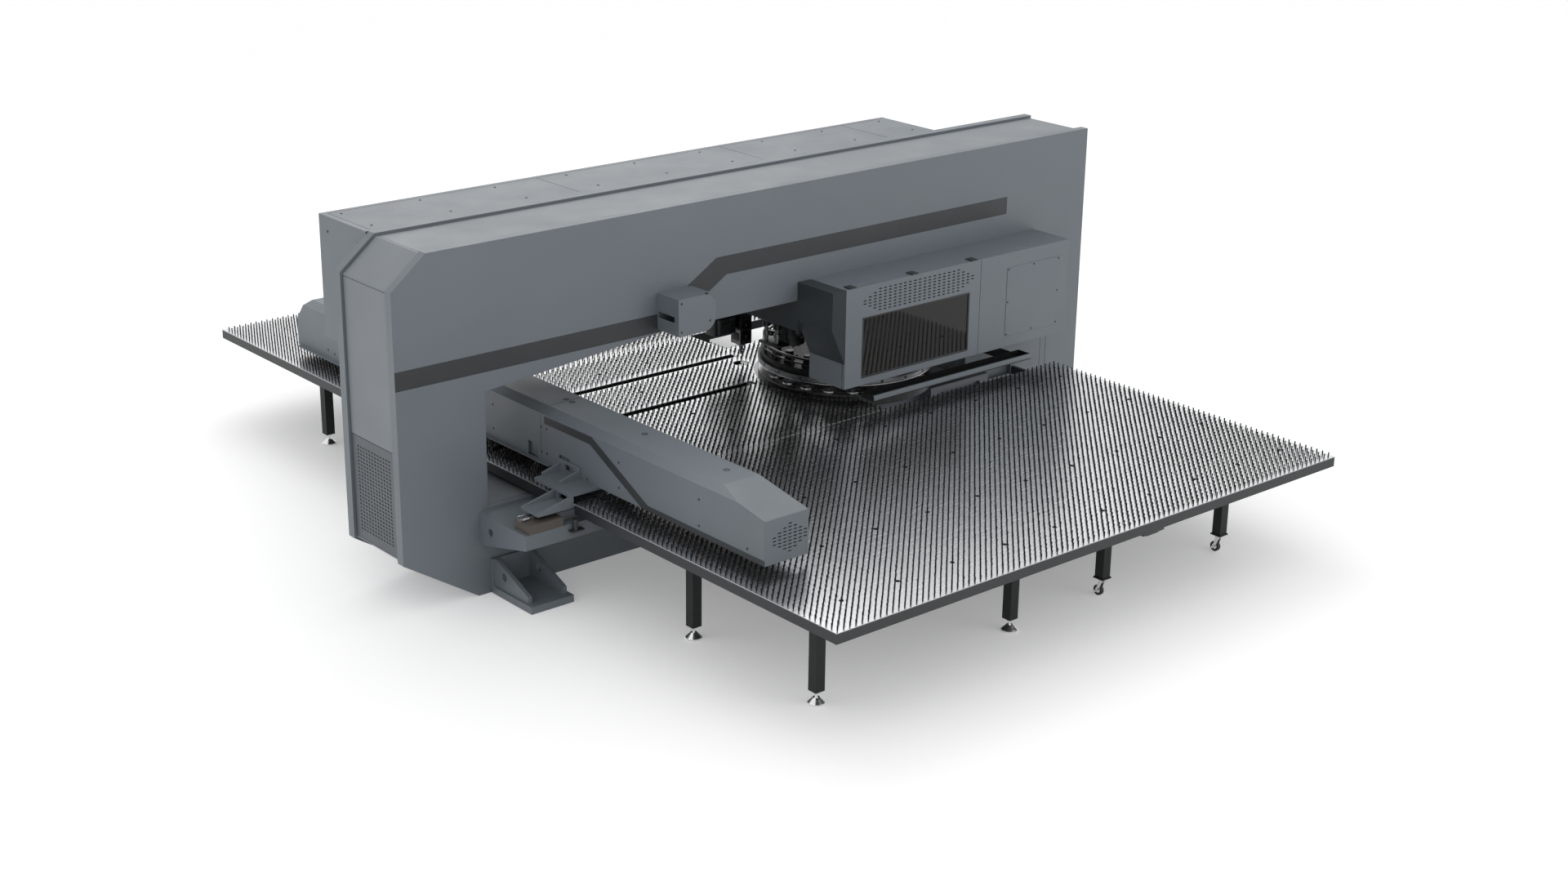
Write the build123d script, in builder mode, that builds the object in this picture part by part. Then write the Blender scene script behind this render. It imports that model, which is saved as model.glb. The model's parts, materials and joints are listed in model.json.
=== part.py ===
from build123d import *
import os

os.makedirs("parts", exist_ok=True)

# Punch and laser sheet machine: a closed O-frame of two thick plates, a brush table through its opening,
# a gauging beam that carries the sheet clamps, and a turret with a punch ram and a laser head.
# X runs along the frame, Y from the front of the table to its rear, Z up from the floor.

# Overall sizes
frame_length = 6180.0
frame_height = 2350.0
frame_depth = 670.0
table_depth = 7240.0
table_width = 4530.0
table_inset = 960.0
table_height = 700.0
front_reach = 3010.0
running_gap = 0.3
seam_gap = 4.0
cut_overrun = 10.0

# Frame plates and the box sections between them
plate_thickness = 70.0
left_column_width = 645.0
right_column_width = 1230.0
sill_drop = 103.0
lintel_height = 1505.0
lintel_slope_drop = 124.0
lintel_slope_run = 1400.0
top_chamfer_run = 256.0
top_chamfer_drop = 209.0
foot_chamfer_run = 550.0
foot_chamfer_rise = 352.0
panel_recess = 25.0
panel_thickness = 6.0
core_wall = 20.0
pocket_width = 300.0
pocket_height = 115.0
pocket_depth = 40.0
pocket_inset = 730.0
pocket_drop = 65.0

# Left end panels
grille_panel_height = 700.0
grille_margin = 55.0
grille_columns = 12
grille_rows = 24
grille_slot_width_share = 0.62
grille_slot_height_share = 0.5

# Rear drive housing
housing_inset = 235.0
housing_length = 4953.0
housing_depth = 585.0
housing_clearance = 15.0
housing_sheet = 5.0

# Outrigger feet
foot_width = 330.0
foot_reach = 462.0
foot_plate = 50.0
foot_back_plate = 25.0
gusset_thickness = 30.0
gusset_inset = 15.0
gusset_height = 190.0
gusset_reach = 405.0
gusset_nose = 45.0
gusset_hole_radius = 27.0
gusset_hole_share = 0.33
anchor_hole_radius = 13.0
anchor_spacing = 200.0

# Rail beams, rails and the drive screw
rail_beam_inset = 576.0
rail_beam_length = 2720.0
rail_beam_margin = 120.0
rail_beam_nose = 100.0
rail_beam_root = 225.0
rail_beam_hole_radius = 26.0
rail_beam_drop = 125.0
rail_bed_height = 60.0
rail_bed_width = 80.0
rail_end_block_length = 260.0
rail_width = 45.0
rail_height = 20.0
rail_inset = 30.0
screw_radius = 16.0
screw_drop = 50.0
screw_block_length = 60.0
screw_block_width = 90.0
screw_nut_radius = 30.0

# Brush table
sheet_thickness = 6.0
deck_height = 64.0
deck_wall = 4.0
deck_setback = 110.0
brush_height = 28.0
brush_mat = 3.0
brush_pitch = 47.0
brush_thickness = 8.0
brush_margin = 24.0
brush_seam_margin = 6.0
front_seam_offset = 400.0
front_seam_width = 12.0
bracket_slot_length = 1215.0
bracket_slot_gap = 10.0
rear_seam_offset = 1840.0
drop_lead = 390.0
drop_length = 1160.0
drop_offset = 1400.0
rear_slot_offset = 1240.0
screw_slot_offset = 655.0
table_slot_width = 70.0
slot_inset = 150.0
rear_slot_length = 2590.0
screw_slot_length = 2300.0
rib_thickness = 20.0
rib_offsets = (-250.0, 300.0, 1000.0, 1600.0)
turret_cut_clearance = 30.0
front_cut_lead = 380.0
column_clearance = 30.0
laser_cut_radius = 60.0
support_width = 60.0
support_shares = (0.25, 0.55, 0.85)
tie_thickness = 30.0
tie_height = 60.0
tie_lead = 90.0
tie_pad = 50.0

# Table legs, feet and casters
leg_width = 70.0
leg_wall = 4.0
leg_inset = 275.0
leg_second = 1899.0
caster_first = 2760.0
caster_second = 3950.0
leg_front_inset = 468.0
leg_row_spacing = 1160.0
rear_leg_reach = 1105.0
pad_radius = 53.0
pad_rim = 12.0
pad_cone = 32.0
pad_neck_radius = 20.0
stem_radius = 10.0
foot_height = 85.0
caster_height = 138.0
caster_plate = 10.0
caster_plate_width = 84.0
caster_wheel_radius = 36.0
caster_wheel_width = 22.0
caster_trail = 24.0
caster_fork_sheet = 4.0
caster_fork_width = 34.0
caster_axle_radius = 5.0
caster_pivot_radius = 14.0

# Vent slots
vent_slot_width = 26.0
vent_slot_height = 8.0
vent_pitch_z = 22.0

# Gauging beam
beam_inset = 1150.0
beam_width = 337.0
beam_clearance = 37.0
beam_height = 367.0
beam_bevel_run = 66.0
beam_bevel_drop = 37.0
beam_front_reach = 2160.0
beam_length = 5510.0
beam_slope_run = 460.0
beam_slope_drop = 82.0
rear_slope_run = 130.0
rear_slope_drop = 160.0
beam_sheet = 5.0
beam_lip = 40.0
beam_ledge = 38.0
beam_tube_inset = 45.0
beam_tube_width = 240.0
beam_tube_low = 35.0
beam_tube_wall = 12.0
beam_cut_width = 113.0
beam_cut_height = 96.0
beam_cut_offsets = (-191.0, 165.0)
beam_cut_rise = 5.0
vent_column_rows = (3, 5, 7, 9, 7, 5, 3)
vent_pitch_x = 40.0
vent_shift = 25.0

# Carriage brackets
bracket_inset = 690.0
bracket_length = 275.0
bracket_width = 190.0
bracket_base = 20.0
bracket_web = 18.0
bracket_plate_clearance = 14.0
bracket_slope = 245.0
bracket_rise = 85.0
bracket_hole_width = 90.0
bracket_low_hole = 36.0
bracket_high_hole = 40.0
upper_inset = 300.0
upper_shift = 80.0
upper_width = 220.0
upper_nose = 20.0
upper_web_rise = 60.0
neck_width = 40.0
guide_length = 200.0
guide_width = 92.0
guide_cover = 12.0

# Clamp saddle
saddle_length = 1600.0
saddle_thickness = 20.0
saddle_rail_width = 30.0
saddle_rail_height = 22.0
clamp_spacing = 550.0
clamp_width = 120.0
clamp_depth = 117.0
clamp_height = 102.0
clamp_clearance = 3.0
clamp_rise = 10.0
clamp_jaw_length = 120.0
clamp_jaw_thickness = 12.0
clamp_jaw_gap = 8.0
clamp_jaw_height = 36.0
clamp_nose_height = 16.0
clamp_ear = 15.0
clamp_pin_radius = 8.0
clamp_side_gap = 1.5

# Turret, ram and laser head
turret_inset = 4130.0
turret_offset = 450.0
turret_radius = 655.0
turret_thickness = 90.0
turret_lip = 18.0
turret_gap = 62.0
die_turret_thickness = 80.0
die_turret_drop = 10.0
tool_circle_radius = 555.0
tool_count = 20
tool_radius = 44.0
tool_height = 85.0
tool_head_radius = 30.0
tool_collar_height = 22.0
die_radius = 50.0
die_bore_radius = 22.0
die_height = 7.0
turret_hub_radius = 190.0
turret_hub_height = 70.0
spindle_radius = 80.0
spindle_collar = 40.0
spindle_collar_height = 14.0
die_base_radius = 300.0
ram_housing_radius = 110.0
ram_housing_lift = 30.0
ram_radius = 45.0
ram_length = 200.0
ram_travel = 34.0
ram_floor_gap = 1.0
laser_x_inset = 3620.0
laser_y_offset = 1060.0
laser_width = 110.0
laser_height = 340.0
laser_nozzle_radius = 22.0
laser_tip_radius = 7.0
laser_nozzle_length = 90.0
laser_tip_gap = 47.0
laser_travel = 120.0
laser_plate = 24.0
laser_plate_width = 150.0

# Head cover, door and front fittings
head_inset = 3375.0
head_length = 2258.0
head_rise = 217.0
head_height = 724.0
head_depth = 370.0
head_sheet = 5.0
door_length = 1325.0
door_thickness = 25.0
window_side_margin = 174.0
window_low_margin = 63.0
window_width = 1030.0
window_height = 421.0
window_thickness = 6.0
window_lap = 15.0
door_vent_rows = (2, 4, 6, *17 * (8,), 6, 4, 2)
door_vent_drop = 119.0
door_vent_shift = 20.0
door_vent_pitch_x = 48.0
hinge_length = 60.0
hinge_thickness = 8.0
hinge_foot = 40.0
hinge_side_share = 0.05
cap_width = 122.0
cap_rise = 185.0
cap_knee_rise = 454.0
cap_back_rise = 363.0
access_inset = 1600.0
access_low = 84.0
access_width = 560.0
access_height = 527.0
access_thickness = 3.0
tray_inset = 3600.0
tray_length = 1600.0
tray_front = 440.0
tray_width = 130.0
tray_depth = 40.0
tray_sheet = 4.0
tray_rise = 100.0
tray_arm_length = 180.0
service_inset = 2020.0
service_length = 285.0
service_depth = 186.0
service_low = 1530.0
service_height = 255.0
service_wall = 5.0
service_notch_height = 40.0
service_notch_rise = 88.0
service_lid_length = 315.0
service_lid_thickness = 45.0
service_lid_radius = 100.0
apron_inset = 4480.0
apron_length = 600.0
apron_depth = 120.0
apron_height = 180.0
apron_drop = 70.0
apron_slot_width = 420.0
apron_slot_height = 40.0
apron_slot_depth = 30.0

# Places worked out from the sizes above
left = -frame_length / 2
right = frame_length / 2
front = front_reach - table_depth / 2
back = front + frame_depth
inner_front = front + plate_thickness
inner_back = back - plate_thickness
core_middle = (front + back) / 2
opening_left = left + left_column_width
opening_right = right - right_column_width
sill = table_height - sill_drop
lintel_low = lintel_height - lintel_slope_drop

table_left = left + table_inset
table_right = table_left + table_width
table_front = -table_depth / 2
table_back = table_depth / 2
sheet_low = table_height - sheet_thickness
deck_low = sheet_low - deck_height
brush_tip = table_height + brush_height
front_seam = front - front_seam_offset
front_table_back = front_seam - front_seam_width / 2
center_front = front_seam + front_seam_width / 2
rear_seam = front + rear_seam_offset
slot_left = table_left + slot_inset
rear_neck_y = front + rear_slot_offset
screw_neck_y = front + screw_slot_offset

turret_x = left + turret_inset
turret_y = front + turret_offset
turret_low = brush_tip + turret_gap
turret_top = turret_low + turret_thickness
die_turret_top = brush_tip - die_turret_drop
die_turret_low = die_turret_top - die_turret_thickness
laser_x = left + laser_x_inset
laser_y = front + laser_y_offset

rail_beam_top = table_height - rail_beam_drop
rail_bed_top = rail_beam_top + rail_bed_height
rail_top = rail_bed_top + rail_height
guide_top = rail_top + guide_cover
base_top = guide_top + bracket_base
rail_beam_left = left + rail_beam_inset
rail_beam_right = rail_beam_left + rail_beam_length

beam_left = left + beam_inset
beam_right = beam_left + beam_width
beam_low = brush_tip + beam_clearance
beam_top = beam_low + beam_height
beam_front = front - beam_front_reach
beam_back = beam_front + beam_length
beam_middle = (beam_front + beam_back) / 2
tube_left = beam_left + beam_tube_inset
tube_right = tube_left + beam_tube_width
tube_low = beam_low + beam_tube_low
tube_top = beam_top - beam_slope_drop - beam_sheet - seam_gap

head_left = left + head_inset
head_right = head_left + head_length
head_low = table_height + head_rise
head_top = head_low + head_height
head_front = front - head_depth
housing_low = lintel_height + housing_clearance

frame_outline = (
    (left + foot_chamfer_run, 0),
    (right, 0),
    (right, frame_height),
    (left + top_chamfer_run, frame_height),
    (left, frame_height - top_chamfer_drop),
    (left, foot_chamfer_rise),
)
opening_outline = (
    (opening_left, sill),
    (opening_right, sill),
    (opening_right, lintel_height),
    (opening_left + lintel_slope_run, lintel_height),
    (opening_left, lintel_low),
)


def save(node, name):
    """Label a finished sub-part and write its STEP file."""
    node.part.label = name
    export_step(node.part, f"parts/{name}.step")


def block(x, y, z, mode=Mode.ADD):
    """Box between a low and a high limit on each axis."""
    sizes = [high - low for low, high in (x, y, z)]
    with Locations(tuple((low + high) / 2 for low, high in (x, y, z))):
        Box(*sizes, mode=mode)


def post(x, y, z, radius, mode=Mode.ADD):
    """Upright cylinder between two heights."""
    low, high = z
    with Locations((x, y, (low + high) / 2)):
        Cylinder(radius, high - low, mode=mode)


def slab(outline, y, mode=Mode.ADD):
    """Closed outline of X and Z points, extruded between two Y limits."""
    low, high = y
    with BuildSketch(Plane.XZ.offset(-high)) as face:
        with BuildLine():
            Polyline(*outline, close=True)
        make_face()
    extrude(face.sketch, amount=high - low, mode=mode)


def rib(outline, x, mode=Mode.ADD):
    """Closed outline of Y and Z points, extruded between two X limits."""
    low, high = x
    with BuildSketch(Plane.YZ.offset(low)) as face:
        with BuildLine():
            Polyline(*outline, close=True)
        make_face()
    extrude(face.sketch, amount=high - low, mode=mode)


def rod_y(x, z, y, radius, mode=Mode.ADD):
    """Cylinder along Y between two limits."""
    low, high = y
    with BuildSketch(Plane.XZ.offset(-high)) as face:
        with Locations((x, z)):
            Circle(radius)
    extrude(face.sketch, amount=high - low, mode=mode)


def rod_x(y, z, x, radius, mode=Mode.ADD):
    """Cylinder along X between two limits."""
    low, high = x
    with BuildSketch(Plane.YZ.offset(low)) as face:
        with Locations((y, z)):
            Circle(radius)
    extrude(face.sketch, amount=high - low, mode=mode)


def frame_ring(outer_inset, inner_inset, window, y):
    """Band between two insets of the frame's outline, kept inside a window of X and Z limits."""
    (x_low, x_high), (z_low, z_high) = window
    with BuildSketch(Plane.XZ.offset(-y[1])) as face:
        with BuildLine():
            Polyline(*frame_outline, close=True)
        make_face()
        offset(amount=-outer_inset, kind=Kind.INTERSECTION)
        with BuildSketch(Plane.XZ.offset(-y[1]), mode=Mode.PRIVATE) as hollow:
            with BuildLine():
                Polyline(*frame_outline, close=True)
            make_face()
            offset(amount=-inner_inset, kind=Kind.INTERSECTION)
        add(hollow.sketch, mode=Mode.SUBTRACT)
        with Locations(((x_low + x_high) / 2, (z_low + z_high) / 2)):
            Rectangle(x_high - x_low, z_high - z_low, mode=Mode.INTERSECT)
    extrude(face.sketch, amount=y[1] - y[0])


def box_section(outline, wall_outline):
    """Welded box section between the two frame plates, open where the plates close it."""
    slab(outline, (inner_front, inner_back))
    slab(wall_outline, (inner_front - cut_overrun, inner_back + cut_overrun), Mode.SUBTRACT)


def rectangle_outline(x, z):
    """Corner points of a rectangle given as X and Z limits."""
    return ((x[0], z[0]), (x[1], z[0]), (x[1], z[1]), (x[0], z[1]))


# Frame plates
with BuildPart() as front_plate:
    slab(frame_outline, (front, inner_front))
    slab(opening_outline, (front - cut_overrun, inner_front + cut_overrun), Mode.SUBTRACT)
    block(
        (right - pocket_inset - pocket_width, right - pocket_inset),
        (front - cut_overrun, front + pocket_depth),
        (table_height - pocket_drop - pocket_height, table_height - pocket_drop),
        Mode.SUBTRACT,
    )
save(front_plate, "front_plate")

with BuildPart() as rear_plate:
    slab(frame_outline, (inner_back, back))
    slab(opening_outline, (inner_back - cut_overrun, back + cut_overrun), Mode.SUBTRACT)
save(rear_plate, "rear_plate")

# Box sections of the frame
core_top = frame_height - panel_recess
with BuildPart() as left_column:
    column_window = ((left, opening_left), (0, frame_height))
    frame_ring(panel_recess, panel_recess + core_wall, column_window, (inner_front, inner_back))
    block(
        (opening_left - core_wall, opening_left),
        (inner_front, inner_back),
        (panel_recess, frame_height - panel_recess),
    )
save(left_column, "left_column")

with BuildPart() as lower_beam:
    lower_x = (opening_left, opening_right)
    box_section(
        rectangle_outline(lower_x, (panel_recess, sill)),
        rectangle_outline(
            (opening_left + core_wall, opening_right - core_wall),
            (panel_recess + core_wall, sill - core_wall),
        ),
    )
save(lower_beam, "lower_beam")

with BuildPart() as right_column:
    box_section(
        rectangle_outline((opening_right, right - panel_recess), (panel_recess, core_top)),
        rectangle_outline(
            (opening_right + core_wall, right - panel_recess - core_wall),
            (panel_recess + core_wall, core_top - core_wall),
        ),
    )
save(right_column, "right_column")

with BuildPart() as upper_beam:
    box_section(
        (
            (opening_left, lintel_low),
            (opening_left + lintel_slope_run, lintel_height),
            (opening_right, lintel_height),
            (opening_right, core_top),
            (opening_left, core_top),
        ),
        (
            (opening_left + core_wall, lintel_low + core_wall + core_wall),
            (opening_left + lintel_slope_run, lintel_height + core_wall),
            (opening_right - core_wall, lintel_height + core_wall),
            (opening_right - core_wall, core_top - core_wall),
            (opening_left + core_wall, core_top - core_wall),
        ),
    )
save(upper_beam, "upper_beam")

# Thin panels in the recess between the plates
panel_y = (inner_front + seam_gap, inner_back - seam_gap)
skin_insets = (panel_recess - panel_thickness, panel_recess)
chamfer_top_z = frame_height - top_chamfer_drop - panel_recess
grille_low_z = foot_chamfer_rise + panel_recess
grille_high_z = grille_low_z + grille_panel_height

with BuildPart() as frame_panels:
    top_window = ((left + top_chamfer_run + panel_recess, right), (core_top, frame_height))
    frame_ring(*skin_insets, top_window, panel_y)
    chamfer_window = (
        (left, left + top_chamfer_run + panel_recess - seam_gap),
        (chamfer_top_z + seam_gap, frame_height),
    )
    frame_ring(*skin_insets, chamfer_window, panel_y)
    side_window = ((left, left + panel_recess), (grille_high_z + seam_gap, chamfer_top_z))
    frame_ring(*skin_insets, side_window, panel_y)
    foot_window = ((left, left + foot_chamfer_run), (panel_recess, grille_low_z - seam_gap))
    frame_ring(*skin_insets, foot_window, panel_y)
save(frame_panels, "frame_panels")

with BuildPart() as grille_panel:
    grille_window = ((left, left + panel_recess), (grille_low_z, grille_high_z))
    frame_ring(*skin_insets, grille_window, panel_y)
    grille_pitch_y = (panel_y[1] - panel_y[0] - 2 * grille_margin) / grille_columns
    grille_pitch_z = (grille_panel_height - 2 * grille_margin) / grille_rows
    with BuildSketch(Plane.YZ.offset(left), mode=Mode.PRIVATE) as grille_holes:
        with Locations((core_middle, (grille_low_z + grille_high_z) / 2)):
            with GridLocations(grille_pitch_y, grille_pitch_z, grille_columns, grille_rows):
                Rectangle(
                    grille_pitch_y * grille_slot_width_share,
                    grille_pitch_z * grille_slot_height_share,
                )
    extrude(grille_holes.sketch, amount=panel_recess + cut_overrun, mode=Mode.SUBTRACT)
save(grille_panel, "grille_panel")

# Rear drive housing, a sheet shell against the rear plate
housing_x = (left + housing_inset, left + housing_inset + housing_length)
with BuildPart() as rear_housing:
    block(housing_x, (back, back + housing_depth), (housing_low, frame_height))
    block(
        (housing_x[0] + housing_sheet, housing_x[1] - housing_sheet),
        (back - cut_overrun, back + housing_depth - housing_sheet),
        (housing_low + housing_sheet, frame_height - housing_sheet),
        Mode.SUBTRACT,
    )
save(rear_housing, "rear_housing")

# Gusseted outrigger feet, two at each plate
with BuildPart() as outrigger_feet:
    for face_y, side in ((front, -1), (back, 1)):
        for foot_left in (opening_left, opening_right):
            foot_right = foot_left + foot_width
            reach = sorted((face_y, face_y + side * foot_reach))
            block((foot_left, foot_right), reach, (0, foot_plate))
            block(
                (foot_left, foot_right),
                sorted((face_y, face_y + side * foot_back_plate)),
                (foot_plate, foot_plate + gusset_height),
            )
            for gusset_left in (foot_left + gusset_inset, foot_right - gusset_inset - gusset_thickness):
                gusset_x = (gusset_left, gusset_left + gusset_thickness)
                rib(
                    (
                        (face_y, foot_plate),
                        (face_y + side * gusset_reach, foot_plate),
                        (face_y + side * gusset_reach, foot_plate + gusset_nose),
                        (face_y + side * gusset_nose, foot_plate + gusset_height),
                        (face_y, foot_plate + gusset_height),
                    ),
                    gusset_x,
                )
                rod_x(
                    face_y + side * gusset_reach * gusset_hole_share,
                    foot_plate + gusset_height / 2,
                    (gusset_x[0] - cut_overrun, gusset_x[1] + cut_overrun),
                    gusset_hole_radius,
                    Mode.SUBTRACT,
                )
            for step in (-1, 1):
                post(
                    (foot_left + foot_right) / 2,
                    face_y + side * foot_reach / 2 + step * anchor_spacing / 2,
                    (-cut_overrun, foot_plate + cut_overrun),
                    anchor_hole_radius,
                    Mode.SUBTRACT,
                )
save(outrigger_feet, "outrigger_feet")

# Tapered rail beams on both plates, each with a rail bed on top
front_rail_left = rail_beam_left + rail_inset
rear_rail_left = table_left + rib_thickness + rail_inset
rail_lines = (
    (front, -1, front_seam, front_rail_left, front_rail_left + rail_end_block_length),
    (back, 1, rear_neck_y, rear_rail_left, rear_rail_left),
)
with BuildPart() as rail_beams:
    for face_y, side, rail_y, rail_left, bed_left in rail_lines:
        nose_y = rail_y + side * rail_beam_margin
        rib(
            (
                (face_y, rail_beam_top),
                (nose_y, rail_beam_top),
                (nose_y, rail_beam_top - rail_beam_nose),
                (face_y, rail_beam_top - rail_beam_root),
            ),
            (rail_beam_left, rail_beam_right),
        )
        block(
            (bed_left, rail_beam_right - rail_inset),
            (rail_y - rail_bed_width / 2, rail_y + rail_bed_width / 2),
            (rail_beam_top, rail_bed_top),
        )
        rod_x(
            face_y + side * rail_beam_margin,
            rail_beam_top - rail_beam_nose,
            (rail_beam_left - cut_overrun, rail_beam_left + rail_beam_nose),
            rail_beam_hole_radius,
            Mode.SUBTRACT,
        )
save(rail_beams, "rail_beams")

with BuildPart() as rail_end_block:
    block(
        (front_rail_left, front_rail_left + rail_end_block_length),
        (front_seam - rail_beam_margin, front_seam + rail_bed_width / 2),
        (rail_beam_top, rail_bed_top),
    )
save(rail_end_block, "rail_end_block")

with BuildPart() as guide_rails:
    for face_y, side, rail_y, rail_left, bed_left in rail_lines:
        block(
            (rail_left, rail_beam_right - rail_inset),
            (rail_y - rail_width / 2, rail_y + rail_width / 2),
            (rail_bed_top, rail_top),
        )
save(guide_rails, "guide_rails")

# Drive screw beside the rear plate, under the table sheet, in two bearing blocks on the sill
screw_y = back + screw_block_width / 2
screw_z = table_height - screw_drop
screw_x = (slot_left, slot_left + screw_slot_length)
block_gap = screw_radius + running_gap
with BuildPart() as screw_bearings:
    for low_x in (screw_x[0], screw_x[1] - screw_block_length):
        block(
            (low_x, low_x + screw_block_length),
            (inner_back, back + screw_block_width),
            (sill, sheet_low),
        )
        bore_x = (low_x - cut_overrun, low_x + screw_block_length + cut_overrun)
        rod_x(screw_y, screw_z, bore_x, block_gap, Mode.SUBTRACT)
save(screw_bearings, "screw_bearings")

with BuildPart() as drive_screw:
    rod_x(screw_y, screw_z, screw_x, screw_radius)
save(drive_screw, "drive_screw")

# Brush table: a hollow deck with a sheet on top at the front and the rear, a ribbed sheet between them
table_x = (table_left, table_right)


def table_deck(deck_y, sheet_y):
    """Hollow deck under a top sheet that can reach past it."""
    block(table_x, sheet_y, (sheet_low, table_height))
    block(table_x, deck_y, (deck_low, sheet_low))
    block(
        (table_left + deck_wall, table_right - deck_wall),
        (deck_y[0] + deck_wall, deck_y[1] - deck_wall),
        (deck_low + deck_wall, sheet_low),
        Mode.SUBTRACT,
    )


def brush_field(field_y):
    """Mat with upright bristle rows along X, one row at each brush pitch."""
    low, high = field_y
    rows = int((high - low - brush_thickness) // brush_pitch) + 1
    first = (low + high - (rows - 1) * brush_pitch) / 2
    mat_top = table_height + brush_mat
    outline = [(low, table_height), (high, table_height), (high, mat_top)]
    for row in reversed(range(rows)):
        middle = first + row * brush_pitch
        near, far = middle - brush_thickness / 2, middle + brush_thickness / 2
        outline += [(far, mat_top), (far, brush_tip), (near, brush_tip), (near, mat_top)]
    outline.append((low, mat_top))
    rib(outline, (table_left + brush_margin, table_right - brush_margin))


def center_cuts(margin, z):
    """Cuts in the middle table for the turret, right column, drop gap, slots and the laser's spot."""
    cut_left = turret_x - front_cut_lead - margin
    block(
        (cut_left, table_right + cut_overrun),
        (center_front - cut_overrun, back + column_clearance + margin),
        z,
        Mode.SUBTRACT,
    )
    post(turret_x, turret_y, z, turret_radius + turret_cut_clearance + margin, Mode.SUBTRACT)
    block(
        (turret_x - drop_lead - margin, turret_x - drop_lead + drop_length + margin),
        (front + drop_offset - margin, rear_seam + cut_overrun),
        z,
        Mode.SUBTRACT,
    )
    post(laser_x, laser_y, z, laser_cut_radius + margin, Mode.SUBTRACT)
    for neck_y, slot_length in ((rear_neck_y, rear_slot_length), (screw_neck_y, screw_slot_length)):
        block(
            (slot_left - margin, slot_left + slot_length + margin),
            (neck_y - table_slot_width / 2 - margin, neck_y + table_slot_width / 2 + margin),
            z,
            Mode.SUBTRACT,
        )


def bracket_cut(margin, z):
    """Slot across the front seam in which the front bracket travels."""
    reach = bracket_width / 2 + bracket_slot_gap + margin
    block(
        (table_left - cut_overrun, table_left + bracket_slot_length + margin),
        (front_seam - reach, front_seam + reach),
        z,
        Mode.SUBTRACT,
    )


with BuildPart() as front_table:
    table_deck((table_front, front_seam - deck_setback), (table_front, front_table_back))
    bracket_cut(0, (sheet_low - cut_overrun, table_height + cut_overrun))
save(front_table, "front_table")

with BuildPart() as rear_table:
    table_deck((rear_seam, table_back), (rear_seam, table_back))
save(rear_table, "rear_table")

with BuildPart() as center_table:
    block(table_x, (center_front, rear_seam), (sheet_low, table_height))
    center_cuts(0, (sheet_low - cut_overrun, table_height + cut_overrun))
    bracket_cut(0, (sheet_low - cut_overrun, table_height + cut_overrun))
    rib_x = (table_left, turret_x - turret_radius - turret_cut_clearance - cut_overrun)
    for rib_offset in rib_offsets:
        block(
            rib_x,
            (front + rib_offset - rib_thickness / 2, front + rib_offset + rib_thickness / 2),
            (deck_low, sheet_low),
        )
    block(
        (table_left, table_left + rib_thickness),
        (front + rib_offsets[0], front + rib_offsets[-1]),
        (deck_low, sheet_low),
    )
save(center_table, "center_table")

with BuildPart() as table_supports:
    support_y = front + rib_offsets[1]
    for support_share in support_shares:
        support_x = rib_x[0] + (rib_x[1] - rib_x[0]) * support_share
        block(
            (support_x - support_width / 2, support_x + support_width / 2),
            (support_y - support_width / 2, support_y + support_width / 2),
            (sill, deck_low),
        )
    deck_back = front_seam - deck_setback
    for tie_left in (rail_beam_right + tie_lead, table_right - tie_thickness):
        rib(
            (
                (front, rail_beam_top),
                (deck_back, rail_beam_top),
                (deck_back, deck_low),
                (deck_back - tie_pad, deck_low),
                (deck_back - tie_pad, rail_beam_top - tie_height),
                (front, rail_beam_top - tie_height),
            ),
            (tie_left, tie_left + tie_thickness),
        )
save(table_supports, "table_supports")

cut_z = (table_height - cut_overrun, brush_tip + cut_overrun)
with BuildPart() as front_brush:
    brush_field((table_front + brush_margin, front_table_back - brush_seam_margin))
    bracket_cut(brush_margin / 2, cut_z)
save(front_brush, "front_brush")

with BuildPart() as center_brush:
    brush_field((center_front + brush_seam_margin, rear_seam - brush_margin))
    center_cuts(brush_margin / 2, cut_z)
    bracket_cut(brush_margin / 2, cut_z)
save(center_brush, "center_brush")

with BuildPart() as rear_brush:
    brush_field((rear_seam + brush_margin, table_back - brush_margin))
save(rear_brush, "rear_brush")

# Table legs with levelling feet, and two shorter legs on casters
leg_front_y = table_front + leg_front_inset
leg_rear_y = table_back - rear_leg_reach
caster_x = (table_left + caster_first, table_left + caster_second)
caster_y = leg_front_y
foot_places = [
    (table_left + run, leg_y)
    for run in (leg_inset, leg_second, caster_second)
    for leg_y in (leg_front_y, leg_front_y + leg_row_spacing, leg_rear_y - leg_row_spacing, leg_rear_y)
    if (run, leg_y) != (caster_second, leg_front_y)
]

with BuildPart() as table_legs:
    legs = [(x, y, foot_height) for x, y in foot_places] + [(x, caster_y, caster_height) for x in caster_x]
    for leg_x, leg_y, leg_low in legs:
        half, hollow = leg_width / 2, leg_width / 2 - leg_wall
        block((leg_x - half, leg_x + half), (leg_y - half, leg_y + half), (leg_low, deck_low))
        block(
            (leg_x - hollow, leg_x + hollow),
            (leg_y - hollow, leg_y + hollow),
            (leg_low + leg_wall, deck_low + cut_overrun),
            Mode.SUBTRACT,
        )
    for wheel_x in caster_x:
        half = caster_plate_width / 2
        plate_z = (caster_height - caster_plate, caster_height)
        block((wheel_x - half, wheel_x + half), (caster_y - half, caster_y + half), plate_z)
save(table_legs, "table_legs")

with BuildPart() as leveling_feet:
    for foot_x, foot_y in foot_places:
        post(foot_x, foot_y, (0, pad_rim), pad_radius)
        with Locations((foot_x, foot_y, pad_rim + pad_cone / 2)):
            Cone(pad_radius, pad_neck_radius, pad_cone)
        post(foot_x, foot_y, (pad_rim + pad_cone, foot_height), stem_radius)
save(leveling_feet, "leveling_feet")

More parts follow.
